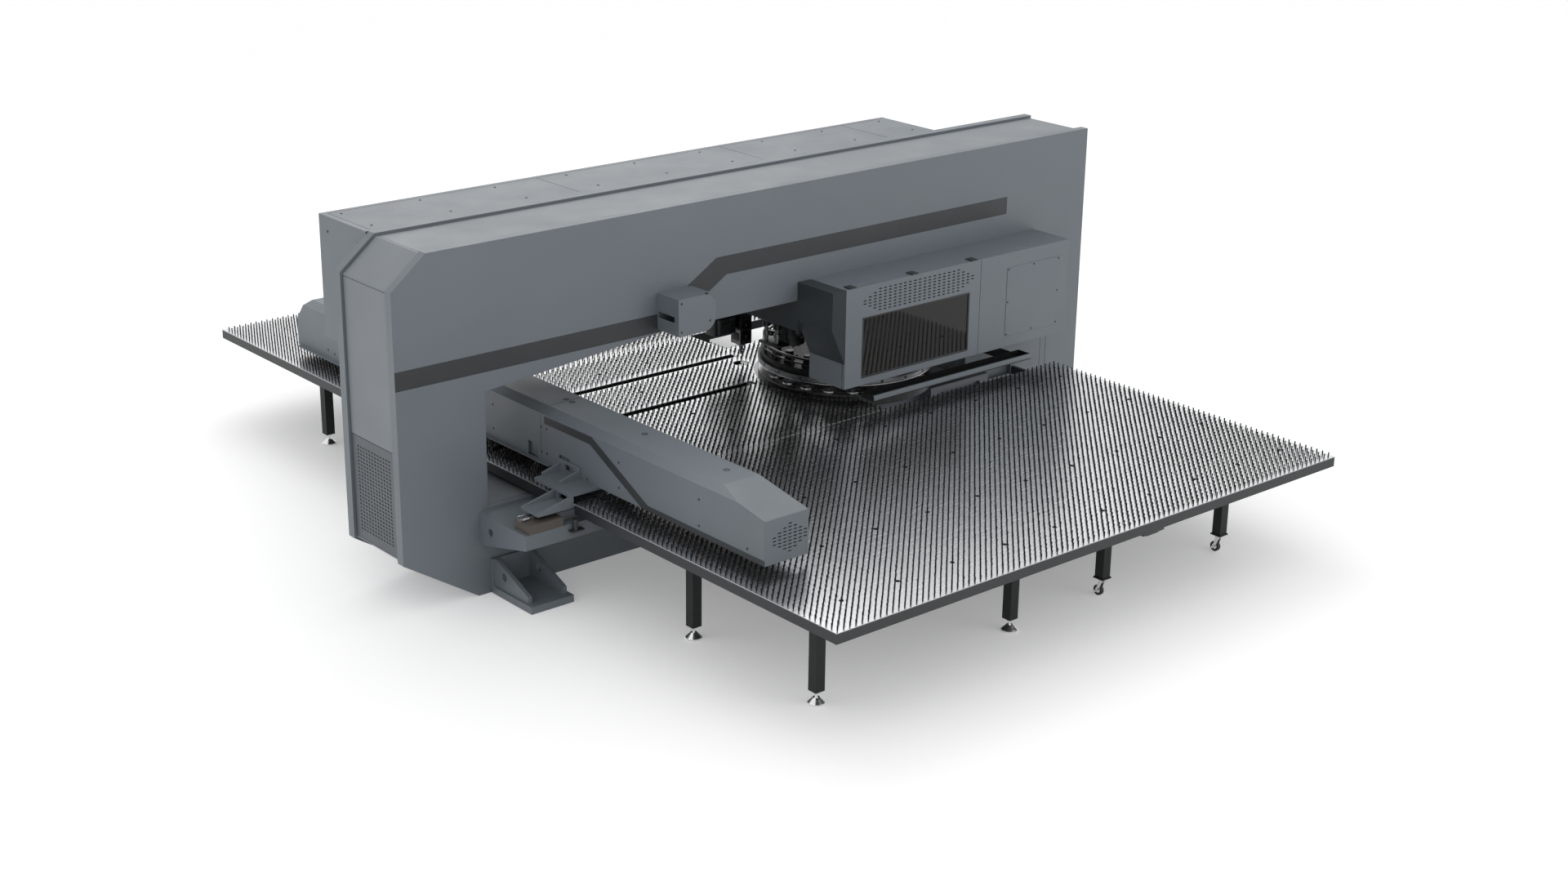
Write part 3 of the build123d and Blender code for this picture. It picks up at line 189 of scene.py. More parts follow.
class Finish:
    """Node material with a Principled shader and helpers for its procedural detail."""

    def __init__(self, name, base, roughness, metallic=0.0):
        self.material = bpy.data.materials.new(name)
        self.material.use_nodes = True
        self.tree = self.material.node_tree
        self.shader = self.tree.nodes["Principled BSDF"]
        self.base = base
        self.shader.inputs["Base Color"].default_value = colour(base)
        self.shader.inputs["Roughness"].default_value = roughness
        self.shader.inputs["Metallic"].default_value = metallic
        self.place = self.tree.nodes.new("ShaderNodeTexCoord").outputs["Object"]

    def node(self, kind, **settings):
        made = self.tree.nodes.new(kind)
        for key, value in settings.items():
            setattr(made, key, value)
        return made

    def link(self, start, end):
        self.tree.links.new(start, end)

    def noise(self, scale, detail=4.0, stretch=EVEN):
        """Noise in row coordinates, stretched along an axis where asked."""
        mapping = self.node("ShaderNodeMapping")
        mapping.inputs["Scale"].default_value = stretch
        self.link(self.place, mapping.inputs["Vector"])
        made = self.node("ShaderNodeTexNoise")
        made.inputs["Scale"].default_value = scale
        made.inputs["Detail"].default_value = detail
        self.link(mapping.outputs["Vector"], made.inputs["Vector"])
        return made.outputs["Fac"]

    def spread(self, value, low, high, from_low=0.3, from_high=0.7):
        """Value remapped to a range."""
        made = self.node("ShaderNodeMapRange")
        made.inputs["From Min"].default_value = from_low
        made.inputs["From Max"].default_value = from_high
        made.inputs["To Min"].default_value = low
        made.inputs["To Max"].default_value = high
        self.link(value, made.inputs["Value"])
        return made.outputs["Result"]

    def blend(self, factor, first, second):
        """Colour mix of two colours or sockets."""
        made = self.node("ShaderNodeMix", data_type="RGBA")
        self.link(factor, made.inputs["Factor"])
        for key, value in (("A", first), ("B", second)):
            socket = next(s for s in made.inputs if s.name == key and s.type == "RGBA")
            if isinstance(value, tuple):
                socket.default_value = colour(value)
            else:
                self.link(value, socket)
        return next(s for s in made.outputs if s.type == "RGBA")

    def tint(self, scale, amount):
        """Slow change of the base colour by a share of it, up and down."""
        darker = tuple(c * (1 - amount) for c in self.base)
        lighter = tuple(c * (1 + amount) for c in self.base)
        mixed = self.blend(self.spread(self.noise(scale, detail=5.0), 0, 1), darker, lighter)
        self.link(mixed, self.shader.inputs["Base Color"])
        return mixed

    def roughen(self, scale, low, high, stretch=EVEN):
        """Roughness that wanders between two values."""
        rough = self.spread(self.noise(scale, detail=3.0, stretch=stretch), low, high)
        self.link(rough, self.shader.inputs["Roughness"])

    def round_edges(self, radius):
        """Normal that rounds the edges."""
        bevel = self.node("ShaderNodeBevel", samples=4)
        bevel.inputs["Radius"].default_value = radius
        return bevel.outputs["Normal"]

    def paint_edge_highlight(self, rounded, base, edge_highlight_tone, reach=0.35, dull=0.8, flat=0.995):
        """Painted highlight: a lighter tone where the rounded normal leaves the surface's own."""
        surface = self.node("ShaderNodeNewGeometry")
        dot = self.node("ShaderNodeVectorMath", operation="DOT_PRODUCT")
        self.link(rounded, dot.inputs[0])
        self.link(surface.outputs["Normal"], dot.inputs[1])
        edge = self.spread(dot.outputs["Value"], reach, 0.0, dull, flat)
        self.link(self.blend(edge, base, edge_highlight_tone), self.shader.inputs["Base Color"])

    def bump(self, height, strength, distance, normal=None):
        """Relief of a height over a normal."""
        made = self.node("ShaderNodeBump")
        made.inputs["Strength"].default_value = strength
        made.inputs["Distance"].default_value = distance
        self.link(height, made.inputs["Height"])
        if normal:
            self.link(normal, made.inputs["Normal"])
        self.link(made.outputs["Normal"], self.shader.inputs["Normal"])


def powder_coat(name, base, roughness=0.42, speckle=0.06, grain=700.0, relief=0.12, gloss=0.5):
    """Powder-coated steel: fine orange peel, faint clouding, and lighter edges painted on as a highlight."""
    finish = Finish(name, base, roughness)
    finish.shader.inputs["Specular IOR Level"].default_value = gloss
    cloud = finish.tint(scale=1.6, amount=speckle)
    fine = finish.spread(finish.noise(grain, detail=2.0), 0, 1)
    lighter = tuple(c * (1 + 2 * speckle) for c in base)
    mixed = finish.blend(fine, cloud, lighter)
    finish.roughen(scale=3.0, low=roughness - 0.05, high=roughness + 0.07)
    # Lighter edge tone, a painted highlight along the edges
    edge_highlight_tone = tuple(min(1, c * 1.5 + 0.02) for c in base)
    normal = finish.round_edges(radius=0.004)
    finish.paint_edge_highlight(normal, mixed, edge_highlight_tone)
    finish.bump(finish.noise(grain, detail=2.0), strength=relief, distance=0.0006, normal=normal)
    return finish.material


def ground_steel(name, base, roughness, stretch=ACROSS_X, stain=0.12):
    """Ground or turned metal with drawn scratches and slight staining."""
    finish = Finish(name, base, roughness, metallic=1.0)
    finish.tint(scale=9.0, amount=stain)
    finish.roughen(scale=14.0, low=roughness - 0.08, high=roughness + 0.1, stretch=stretch)
    scratches = finish.noise(30.0, stretch=stretch)
    finish.bump(scratches, strength=0.1, distance=0.0004, normal=finish.round_edges(radius=0.0015))
    return finish.material


def plain_plastic(name, base, roughness, gloss=0.5):
    """Moulded plastic with a faint grain."""
    finish = Finish(name, base, roughness)
    finish.shader.inputs["Specular IOR Level"].default_value = gloss
    finish.tint(scale=20.0, amount=0.15)
    finish.roughen(scale=40.0, low=roughness - 0.06, high=roughness + 0.08)
    finish.bump(finish.noise(500.0, detail=2.0), strength=0.12, distance=0.0004)
    return finish.material


def table_finish(name):
    """Table section: satin metal sheet on top, lighter cut edge, dark painted deck below."""
    deck_roughness, deck_depth, edge_depth, blur = 0.45, 0.006, 0.0011, 0.0001
    finish = Finish(name, SHEET, roughness=0.24)
    split = finish.node("ShaderNodeSeparateXYZ")
    finish.link(finish.place, split.inputs["Vector"])
    deck, edge = TABLE_TOP - deck_depth, TABLE_TOP - edge_depth
    above = finish.spread(split.outputs["Z"], 0, 1, deck - blur, deck + blur)
    surface = finish.spread(split.outputs["Z"], 0, 1, edge - blur, edge + blur)
    clouds = finish.spread(finish.noise(1.1, detail=5.0), 0, 1)
    sheet = finish.blend(clouds, SHEET_DULL, SHEET_BRIGHT)
    sides = finish.blend(above, RIM, SHEET_EDGE)
    finish.link(finish.blend(surface, sides, sheet), finish.shader.inputs["Base Color"])
    finish.link(surface, finish.shader.inputs["Metallic"])
    rolled = finish.spread(finish.noise(9.0, detail=3.0, stretch=ROLLED), 0.23, 0.28)
    rough = finish.node("ShaderNodeMix", data_type="FLOAT")
    finish.link(surface, rough.inputs["Factor"])
    rough.inputs["A"].default_value = deck_roughness
    finish.link(rolled, rough.inputs["B"])
    finish.link(rough.outputs["Result"], finish.shader.inputs["Roughness"])
    grain = finish.noise(160.0, detail=2.0, stretch=ROLLED_FINE)
    finish.bump(grain, strength=0.01, distance=0.0002, normal=finish.round_edges(radius=0.002))
    return finish.material


def dark_glass(name):
    """Tinted pane that mirrors the table in front of it."""
    finish = Finish(name, GLASS_TINT, roughness=0.03)
    finish.shader.inputs["IOR"].default_value = 1.36
    finish.roughen(scale=5.0, low=0.015, high=0.05)
    finish.bump(finish.noise(3.0, detail=1.0), strength=0.02, distance=0.0005)
    return finish.material


def make_finishes():
    """Every material of the machine, by the record's slot or by its own name."""
    return {
        "slate_paint": powder_coat("slate_paint", SLATE),
        # Textured slate, its lighter tone partly painted light
        "slate_textured": powder_coat("slate_textured", SLATE_TEXTURED_LIT, 0.5, 0.12, grain=420.0, relief=0.3),
        "grille_dark": powder_coat("grille_paint", GRILLE, 0.45, 0.08),
        "stripe": powder_coat("stripe_paint", STRIPE_GREY, 0.46, 0.08),
        "dark_paint": powder_coat("dark_paint", DARK, 0.44, 0.1),
        "table_sheet": table_finish("table_sheet"),
        "machined_steel": ground_steel("machined_steel", STEEL, 0.26),
        "dark_steel": ground_steel("dark_steel", BLACK_STEEL, 0.36, TURNED, stain=0.3),
        "tool_steel": ground_steel("tool_steel", TOOL_STEEL, 0.24, TURNED, stain=0.3),
        "worn_steel": ground_steel("worn_steel", WORN_STEEL, 0.34, TURNED, stain=0.25),
        "matte_black": plain_plastic("matte_black", MATTE_BLACK, 0.42, gloss=0.2),
        "leg_paint": powder_coat("leg_paint", LEG_DARK, 0.46, 0.1, gloss=0.25),
        "cap_paint": powder_coat("cap_paint", CAP_DARK, 0.5, 0.1, gloss=0.15),
        "foot_metal": ground_steel("bright_zinc", ZINC, 0.16, TURNED_FINE, stain=0.06),
        "bronze": powder_coat("brown_block", BROWN, 0.42, 0.1),
        "bristle": plain_plastic("bristle_nylon", NYLON, 0.7, gloss=0.15),
        "wheel_plastic": plain_plastic("wheel_plastic", WHEEL_BLACK, 0.5),
        "white_plastic": plain_plastic("white_plastic", PIPE_WHITE, 0.4),
        "dark_glass": dark_glass("dark_glass"),
    }


FINISHES = make_finishes()


class Shape:
    """Geometry of one piece, gathered in row coordinates before it becomes an object."""

    def __init__(self):
        self.mesh = bmesh.new()

    def box(self, low, high, bevel=0.0):
        low, high = Vector(low), Vector(high)
        size = high - low
        place = Matrix.Translation((low + high) / 2) @ Matrix.Diagonal((*size, 1))
        made = bmesh.ops.create_cube(self.mesh, size=1, matrix=place)
        if bevel:
            edges = {edge for vert in made["verts"] for edge in vert.link_edges}
            bmesh.ops.bevel(
                self.mesh,
                geom=list(edges),
                offset=bevel,
                segments=2,
                profile=0.5,
                affect="EDGES",
                clamp_overlap=True,
            )
        return self

    def rod(self, start, end, radius, end_radius=None, sides=24):
        start, end = Vector(start), Vector(end)
        run = end - start
        turn = run.to_track_quat("Z", "Y").to_matrix().to_4x4()
        bmesh.ops.create_cone(
            self.mesh,
            cap_ends=True,
            segments=sides,
            radius1=radius,
            radius2=radius if end_radius is None else end_radius,
            depth=run.length,
            matrix=Matrix.Translation((start + end) / 2) @ turn,
        )
        return self

    def prism(self, outline, depth):
        """Closed outline of points, extruded by a vector."""
        depth = Vector(depth)
        near = [self.mesh.verts.new(Vector(p)) for p in outline]
        far = [self.mesh.verts.new(Vector(p) + depth) for p in outline]
        self.mesh.faces.new(near)
        self.mesh.faces.new(list(reversed(far)))
        count = len(near)
        for i in range(count):
            j = (i + 1) % count
            self.mesh.faces.new((near[j], near[i], far[i], far[j]))
        return self

    def lathe(self, centre, profile, sides=48):
        """Closed profile of (radius, height) points turned about an upright axis."""
        rings = []
        for radius, height in profile:
            ring = []
            for i in range(sides):
                a = 2 * math.pi * i / sides
                offset = Vector((radius * math.cos(a), radius * math.sin(a), height))
                ring.append(self.mesh.verts.new(Vector(centre) + offset))
            rings.append(ring)
        for low, high in zip(rings, rings[1:] + rings[:1]):
            for i in range(sides):
                j = (i + 1) % sides
                self.mesh.faces.new((low[i], low[j], high[j], high[i]))
        return self

    def ring(self, centre, radii, heights, sides):
        """Flat ring of a rectangular section about an upright axis."""
        inner, outer = radii
        low, high = heights
        return self.lathe(centre, [(inner, low), (outer, low), (outer, high), (inner, high)], sides)

    def piece(self, name, body, slot, finish=None, smooth=True):
        """Object of the gathered geometry, riding on a body."""
        bmesh.ops.recalc_face_normals(self.mesh, faces=self.mesh.faces)
        data = bpy.data.meshes.new(name)
        self.mesh.to_mesh(data)
        self.mesh.free()
        made = bpy.data.objects.new(name, data)
        bpy.context.scene.collection.objects.link(made)
        data.materials.append(FINISHES[finish or slot])
        if smooth:
            for face in data.polygons:
                face.use_smooth = True
            data.set_sharp_from_angle(angle=SMOOTH_ANGLE)
        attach(made, body)
        return made


def paint_nodes():
    """Finish of every CAD node, by its slot in the record or by its own."""
    special = {
        "front_table": "table_sheet",
        "center_table": "table_sheet",
        "rear_table": "table_sheet",
        "tool_holders": "tool_steel",
        "turret_spindle": "tool_steel",
        "upper_turret": "matte_black",
        "head_tray": "matte_black",
        "head_cap": "cap_paint",
        "table_legs": "leg_paint",
        "laser_head": "worn_steel",
    }
    for part in frame["record"]["subparts"]:
        node = frame["nodes"][part["node"]]
        node.data.materials.clear()
        node.data.materials.append(FINISHES[special.get(part["node"], part["material_slot"])])


def within(value, low, high):
    """Whether a tuft at this place would stand between two edges."""
    return low - TUFT_MARGIN < value < high + TUFT_MARGIN


def in_bracket_slot(x, y):
    """Whether a tuft would stand in the slot where the carriage bracket runs."""
    along, across = x - LEFT, y - FRONT
    return within(along, *BRACKET_SLOT_X) and within(across, *BRACKET_SLOT_Y)


def in_center_cuts(x, y):
    """Whether a tuft would stand in a cut of the middle table."""
    along, across = x - LEFT, y - FRONT
    lead = x - TURRET_CENTRE.x
    place = Vector((x, y))
    laser_low, laser_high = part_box("laser_head")
    laser = (laser_low + laser_high) / 2
    in_pit = lead > -PIT_REACH - TUFT_MARGIN and y < BACK + TURRET_CLEARANCE + TUFT_MARGIN
    in_drop = abs(lead - DROP_LEAD) < DROP_HALF_LENGTH + TUFT_MARGIN and across > DROP_START - TUFT_MARGIN
    in_neck_slot = any(
        within(across, run - NECK_SLOT_HALF_WIDTH, run + NECK_SLOT_HALF_WIDTH)
        and within(along, NECK_SLOT_START, end)
        for run, end in NECK_SLOTS
    )
    near_turret = (place - TURRET_CENTRE.xy).length < TURRET_RADIUS + TURRET_CLEARANCE + TUFT_MARGIN
    near_laser = (place - laser.xy).length < LASER_HOLE_RADIUS + TUFT_MARGIN
    return in_bracket_slot(x, y) or near_turret or in_pit or in_drop or in_neck_slot or near_laser


def add_tuft(verts, faces, foot, lean, twist, tall):
    """Leaning tuft, narrow at its waist and flared at its tip."""
    first = len(verts)
    for share, width in TUFT_STAGES:
        radius = TUFT_RADIUS * width
        for side in range(TUFT_SIDES):
            a = twist + 2 * math.pi * side / TUFT_SIDES
            x = foot[0] + lean[0] * share + radius * math.cos(a)
            y = foot[1] + lean[1] * share + radius * math.sin(a)
            verts.append((x, y, foot[2] + tall * share))
    last = first + (len(TUFT_STAGES) - 1) * TUFT_SIDES
    for base in range(first, last, TUFT_SIDES):
        above = base + TUFT_SIDES
        for side in range(TUFT_SIDES):
            after = (side + 1) % TUFT_SIDES
            faces.append((base + side, base + after, above + after, above + side))
    faces.append(tuple(last + side for side in range(TUFT_SIDES)))
    faces.append(tuple(first + side for side in reversed(range(TUFT_SIDES))))


def brush_tufts(node, skip=None):
    """Separate bristle tufts on a square lattice, in place of a field of bristle rows."""
    rng = random.Random(SEED)
    low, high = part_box(node)
    columns = int((high.x - low.x) / TUFT_PITCH)
    rows = int((high.y - low.y) / TUFT_PITCH)
    start_x = (low.x + high.x - columns * TUFT_PITCH) / 2
    start_y = low.y + TUFT_EDGE
    verts, faces = [], []
    for column in range(columns + 1):
        for row in range(rows + 1):
            x, y = start_x + column * TUFT_PITCH, start_y + row * TUFT_PITCH
            lean = (rng.uniform(-TUFT_LEAN, TUFT_LEAN), rng.uniform(-TUFT_LEAN, TUFT_LEAN))
            twist = rng.uniform(0, math.pi)
            tall = (high.z - low.z) * rng.uniform(TUFT_SHORTEST_SHARE, 1.0)
            if not (skip and skip(x, y)):
                add_tuft(verts, faces, (x, y, low.z), lean, twist, tall)
    data = bpy.data.meshes.new(f"{node}_tufts")
    data.from_pydata(verts, [], faces)
    made = bpy.data.objects.new(f"{node}_tufts", data)
    bpy.context.scene.collection.objects.link(made)
    data.materials.append(FINISHES["bristle"])
    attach(made, "machine")
    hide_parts(node)


def front_stripe():
    """Dark painted band that steps up across the front plate."""
    start, end = 0.0, 5.324
    low_edges, high_edges = (1.51, 1.636), (1.809, 1.94)
    lower_bends, upper_bends = (2.12, 2.03), (2.612, 2.524)
    outline = [
        (start, low_edges[0]), (lower_bends[0], low_edges[0]),
        (upper_bends[0], high_edges[0]), (end, high_edges[0]),
        (end, high_edges[1]), (upper_bends[1], high_edges[1]),
        (lower_bends[1], low_edges[1]), (start, low_edges[1]),
    ]
    band = Shape()
    band.prism([at(x, 0, z) for x, z in outline], TO_FRONT * DECAL)
    band.piece("front_stripe", "machine", "dark_paint", "stripe", smooth=False)


def beam_stripe():
    """Dark painted band on the beam's left face, down to its lower edge."""
    rear, front = 0.084, -2.16
    rear_edges, foot_edges = (1.032, 1.084), (BEAM_LOW.z, BEAM_LOW.z + 0.036)
    upper_bends, lower_bends = ((-0.42, 1.034), (-0.442, 1.089)), (-0.965, -1.03)
    outline = [
        (rear, rear_edges[1]), upper_bends[1], (lower_bends[1], foot_edges[1]), (front, foot_edges[1]),
        (front, foot_edges[0]), (lower_bends[0], foot_edges[0]), upper_bends[0], (rear, rear_edges[0]),
    ]
    band = Shape()
    band.prism([(BEAM_LOW.x, FRONT + y, z) for y, z in outline], TO_LEFT * DECAL)
    band.piece("beam_stripe", "carriage", "dark_paint", "stripe", smooth=False)


def add_screws(shape, places, normal, radius, rise=SCREW_RISE):
    """Domed screw heads with a smaller socket rim on each."""
    for place in places:
        foot = Vector(place)
        head = foot + normal * rise
        shape.rod(foot, head, radius, radius * SCREW_TAPER_SHARE, sides=14)
        wide, narrow = (radius * share for share in SOCKET_SHARES)
        shape.rod(head, head + normal * SOCKET_RISE, wide, narrow, sides=6)
    return shape


def ring_places(centre, radius, count, height, phase=0.0):
    """Places on a level circle."""
    turns = [2 * math.pi * (i + phase) / count for i in range(count)]
    return [Vector((centre.x + radius * math.cos(a), centre.y + radius * math.sin(a), height)) for a in turns]


def frame_seams():
    """Dark joints between the recessed panels of the frame, and seam lines on the right column."""
    width, corner_height, corner_start, top_start = 0.014, 2.1291, 0.006, 0.272
    column_seams, column_ends = (5.77, 5.83), (0.3, 0.915)
    along, out = Vector((0.7746, 0, 0.6324)), Vector((-0.6324, 0, 0.7746))
    near, far = FRONT + PLATE_DEPTH, BACK - PLATE_DEPTH
    corner = Vector((LEFT + PANEL_RECESS, near, corner_height))
    low, high = corner + along * corner_start, corner + along * (corner_start + width)
    seams = Shape()
    seams.prism([low, high, high + out * DECAL, low + out * DECAL], (0, far - near, 0))
    start, top = LEFT + top_start, TOP - PANEL_RECESS
    seams.box((start, near, top), (start + width, far, top + DECAL))
    for x in column_seams:
        seams.box(at(x, -DECAL, column_ends[0]), at(x + LINE_WIDTH, 0, column_ends[1]))
    seams.piece("frame_seams", "machine", "dark_paint")


def housing_details():
    """Cover joints and screws on the rear housing."""
    low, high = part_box("rear_housing")
    inset, seat, cover_length, last_cover = 0.045, 0.03, 1.62, 0.42
    x0, x1, y0, y1 = low.x + inset, high.x - inset, low.y + seat, high.y - inset
    lines = Shape()
    lines.box((x0, y1, high.z), (x1, y1 + LINE_WIDTH, high.z + DECAL))
    for x in (x0, x0 + cover_length, x0 + 2 * cover_length, x1 - last_cover):
        lines.box((x, y0, high.z), (x + LINE_WIDTH, y1, high.z + DECAL))
    lines.piece("housing_joints", "machine", "dark_paint")

    radius, start, pitch, count = 0.009, 0.11, 0.59, 9
    rows = (low.y + 0.11, high.y - 0.1)
    side_runs, side_heights = (0.1, 0.48), (1.42, 2.25)
    screws = Shape()
    spots = [(low.x + start + pitch * i, y, high.z) for i in range(count) for y in rows]
    add_screws(screws, spots, UP, radius)
    spots = [(low.x, low.y + run, z) for run in side_runs for z in side_heights]
    add_screws(screws, spots, TO_LEFT, radius)
    screws.piece("housing_screws", "machine", "dark_paint")


def panel_details():
    """Screws of the frame's end and top panels and of the grille."""
    radius = 0.007
    end_runs, end_heights = (0.1, 0.57), (0.44, 0.75, 1.04, 1.13, 1.6, 2.08)
    top_runs, top_start, top_pitch, top_count = (0.105, 0.565), 0.4, 0.64, 9
    screws = Shape()
    spots = [at(PANEL_RECESS, run, z) for run in end_runs for z in end_heights]
    add_screws(screws, spots, TO_LEFT, radius)
    top = TOP - PANEL_RECESS
    spots = [at(top_start + top_pitch * i, run, top) for i in range(top_count) for run in top_runs]
    add_screws(screws, spots, UP, radius)
    screws.piece("panel_screws", "machine", "dark_paint")


def beam_details():
    """Screws, plugs of the lifting holes and cover joints of the beam."""
    radius, heights = 0.008, (1.0, 0.83)
    runs = (2.9, 2.1, 1.5, 0.69, 0.12, 0.06, -0.73, -1.54)
    low_spots = [at(BEAM_SIDE, -0.39, 0.785), at(BEAM_SIDE, -2.0, 0.83)]
    spots = [(BEAM_LOW.x, FRONT + run, z) for run in runs for z in heights]
    screws = add_screws(Shape(), spots + low_spots, TO_LEFT, radius)
    screws.piece("beam_screws", "carriage", "dark_paint")

    plug_middle, plug_runs = 1.38, (2.9, 2.35, 1.55, 0.75, 0.16, 0.09, -0.7, -1.52)
    plug = [(0.021, 0), (0.021, 0.0012), (0.014, 0.0022), (0.012, 0.0004)]
    plugs = Shape()
    for run in plug_runs:
        plugs.lathe(at(plug_middle, run, BEAM_TOP), plug, sides=20)
    plugs.piece("beam_plugs", "carriage", "dark_paint")

    joint_runs, top_ends, side_ends, side_width = (2.4, 0.125), (1.22, 1.487), (0.80, 1.08), 0.003
    joints = Shape()
    for run in joint_runs:
        joints.box(at(top_ends[0], run, BEAM_TOP), at(top_ends[1], run + LINE_WIDTH, BEAM_TOP + DECAL))
        joints.box(at(BEAM_SIDE - DECAL, run, side_ends[0]), at(BEAM_SIDE, run + side_width, side_ends[1]))
    joints.piece("beam_joints", "carriage", "dark_paint")


def access_screws():
    """Screws around the access panel."""
    inset, radius = 0.014, 0.007
    low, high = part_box("access_panel")
    middle = (low + high) / 2
    columns = (low.x + inset, middle.x, high.x - inset)
    rows = (low.z + inset, middle.z, high.z - inset)
    spots = [(x, low.y, z) for x in columns for z in rows if (x, z) != (middle.x, middle.z)]
    add_screws(Shape(), spots, TO_FRONT, radius).piece("access_screws", "machine", "dark_paint")


def window_gasket():
    """Black gasket around the door's window."""
    lap, rim, bevel = 0.015, 0.012, 0.001
    near, far = DOOR_FACE - 0.002, DOOR_FACE + 0.003
    low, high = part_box("door_window")
    x0, x1, z0, z1 = low.x + lap, high.x - lap, low.z + lap, high.z - lap
    gasket = Shape()
    for left, right, bottom, top in (
        (x0 - rim, x1 + rim, z0 - rim, z0),
        (x0 - rim, x1 + rim, z1, z1 + rim),
        (x0 - rim, x0, z0, z1),
        (x1, x1 + rim, z0, z1),
    ):
        gasket.box((left, near, bottom), (right, far, top), bevel)
    gasket.piece("window_gasket", "door", "dark_paint", "wheel_plastic")


def tray_lip():
    """Folded slate lip along the front of the tray."""
    sheet, lower_gap, fold, fold_depth, bevel = 0.002, 0.006, 0.004, 0.012, 0.0008
    low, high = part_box("head_tray")
    front = low.y - sheet
    lip = Shape()
    lip.box((low.x, front, low.z + lower_gap), (high.x, low.y, high.z - fold), bevel)
    lip.box((low.x, front, high.z - fold), (high.x, low.y + fold_depth, high.z + sheet), bevel)
    lip.piece("tray_lip", "machine", "slate_paint")


def service_screws():
    """Screws of the service box's lid."""
    left_inset, right_inset, edge, lift, radius = 0.025, 0.05, 0.03, 0.07, 0.008
    low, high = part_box("service_lid")
    spots = [
        (low.x + left_inset, low.y, low.z + edge),
        (low.x + left_inset, low.y, high.z - edge),
        (high.x - right_inset, low.y, low.z + lift),
    ]
    add_screws(Shape(), spots, TO_FRONT, radius).piece("service_screws", "machine", "dark_paint")


def vent_shade_sheet(name, body, face, middle, reach):
    """Dark sheet with folded rims behind the vent slots of a face: painted shade standing for the dark space
    inside.
    """
    rim, gap, thick = 0.008, 0.0056, 0.002
    x0, x1 = middle.x - reach[0], middle.x + reach[0]
    z0, z1 = middle.z - reach[1], middle.z + reach[1]
    front = face + gap
    back = front + thick
    # Near-black sheet: painted shade seen through the vent slots
    shade_sheet = Shape()
    shade_sheet.box((x0, front, z0), (x1, back, z1))
    for left, right, bottom, top in (
        (x0, x1, z0, z0 + thick),
        (x0, x1, z1 - thick, z1),
        (x0, x0 + thick, z0 + thick, z1 - thick),
        (x1 - thick, x1, z0 + thick, z1 - thick),
    ):
        shade_sheet.box((left, back, bottom), (right, back + rim, top))
    shade_sheet.piece(name, body, "dark_paint", "bristle")


def vent_shade_backings():
    """Dark sheets behind the vents of the door and of the beam's front end, painted shade for the space
    behind them.
    """
    vent_shade_sheet("door_vent_shade_sheet", "door", DOOR_FACE, at(4.084, 0, 1.522), reach=(0.548, 0.088))
    vent_shade_sheet("beam_vent_shade_sheet", "carriage", BEAM_LOW.y, at(1.3435, 0, 0.9075), reach=(0.128, 0.097))


def cut_backings():
    """Slate plates set back behind the two cut-outs in the beam's left face."""
    cut_runs = ((-0.205, -0.064), (0.151, 0.292))
    near, far, sheet, bevel = 1.1555, 1.166, 0.003, 0.0008
    bottom, top = 0.772, 0.88
    plates = Shape()
    for low, high in cut_runs:
        plates.box(at(far, low, bottom), at(far + sheet, high, top), bevel)
        for run in (low, high - sheet):
            plates.box(at(near, run, bottom), at(far, run + sheet, top))
    plates.piece("cut_backings", "carriage", "slate_paint")


def rail_post():
    """Small post on a bracket at the front face of the rail beam."""
    bracket_low, bracket_high, bevel = at(0.9, -0.566, 0.53), at(1.0, -0.521, 0.54), 0.002
    radius, height, cap_radii, cap_height = 0.016, 0.06, (0.02, 0.017), 0.012
    foot = at(0.94, -0.545, bracket_high.z)
    head = foot + up(height)
    post = Shape()
    post.box(bracket_low, bracket_high, bevel)
    post.rod(foot, head, radius)
    post.rod(head, head + up(cap_height), *cap_radii)
    post.piece("rail_post", "machine", "dark_paint")


def turret_bolts():
    """Bolts of the upper turret's hub and deck."""
    hub_radius, hub_count, hub_bolt, hub_rise = 0.155, 12, 0.011, 0.009
    deck_radius, deck_bolt, deck_rise = 0.43, 0.01, 0.008
    deck = TURRET_LOW.z + DECK_RISE
    bolts = Shape()
    spots = ring_places(TURRET_CENTRE, hub_radius, hub_count, TURRET_HIGH.z)
    add_screws(bolts, spots, UP, hub_bolt, hub_rise)
    spots = ring_places(TURRET_CENTRE, deck_radius, TOOL_COUNT, deck, phase=0.5)
    add_screws(bolts, spots, UP, deck_bolt, deck_rise)
    bolts.piece("turret_bolts", "turret_upper", "machined_steel", "dark_steel")


def turret_rim():
    """Bright lower edge and worn band around the upper turret."""
    base = Vector((TURRET_CENTRE.x, TURRET_CENTRE.y, TURRET_LOW.z))
    edge = [(0.648, 0.0002), (0.6555, 0.0002), (0.6562, 0.004), (0.6555, 0.008)]
    Shape().lathe(base, edge, sides=96).piece("turret_edge", "turret_upper", "machined_steel")
    band = [(0.65, 0.012), (0.6556, 0.012), (0.6562, 0.014), (0.6562, 0.041), (0.6556, 0.043), (0.65, 0.043)]
    shape = Shape().lathe(base, band, sides=96)
    shape.piece("turret_band", "turret_upper", "machined_steel", "worn_steel")


def turret_cage():
    """Two rings on posts around the tools."""
    radii, lower, upper, post_radius = (0.607, 0.622), (0.028, 0.04), (0.062, 0.078), 0.009
    deck = Vector((TURRET_CENTRE.x, TURRET_CENTRE.y, TURRET_LOW.z + DECK_RISE))
    cage = Shape()
    for heights in (lower, upper):
        cage.ring(deck, radii, heights, sides=80)
    for place in ring_places(TURRET_CENTRE, sum(radii) / 2, TOOL_COUNT, deck.z, phase=0.5):
        cage.rod(place, place + up(upper[0]), post_radius, sides=16)
    cage.piece("turret_cage", "turret_upper", "machined_steel", "tool_steel")


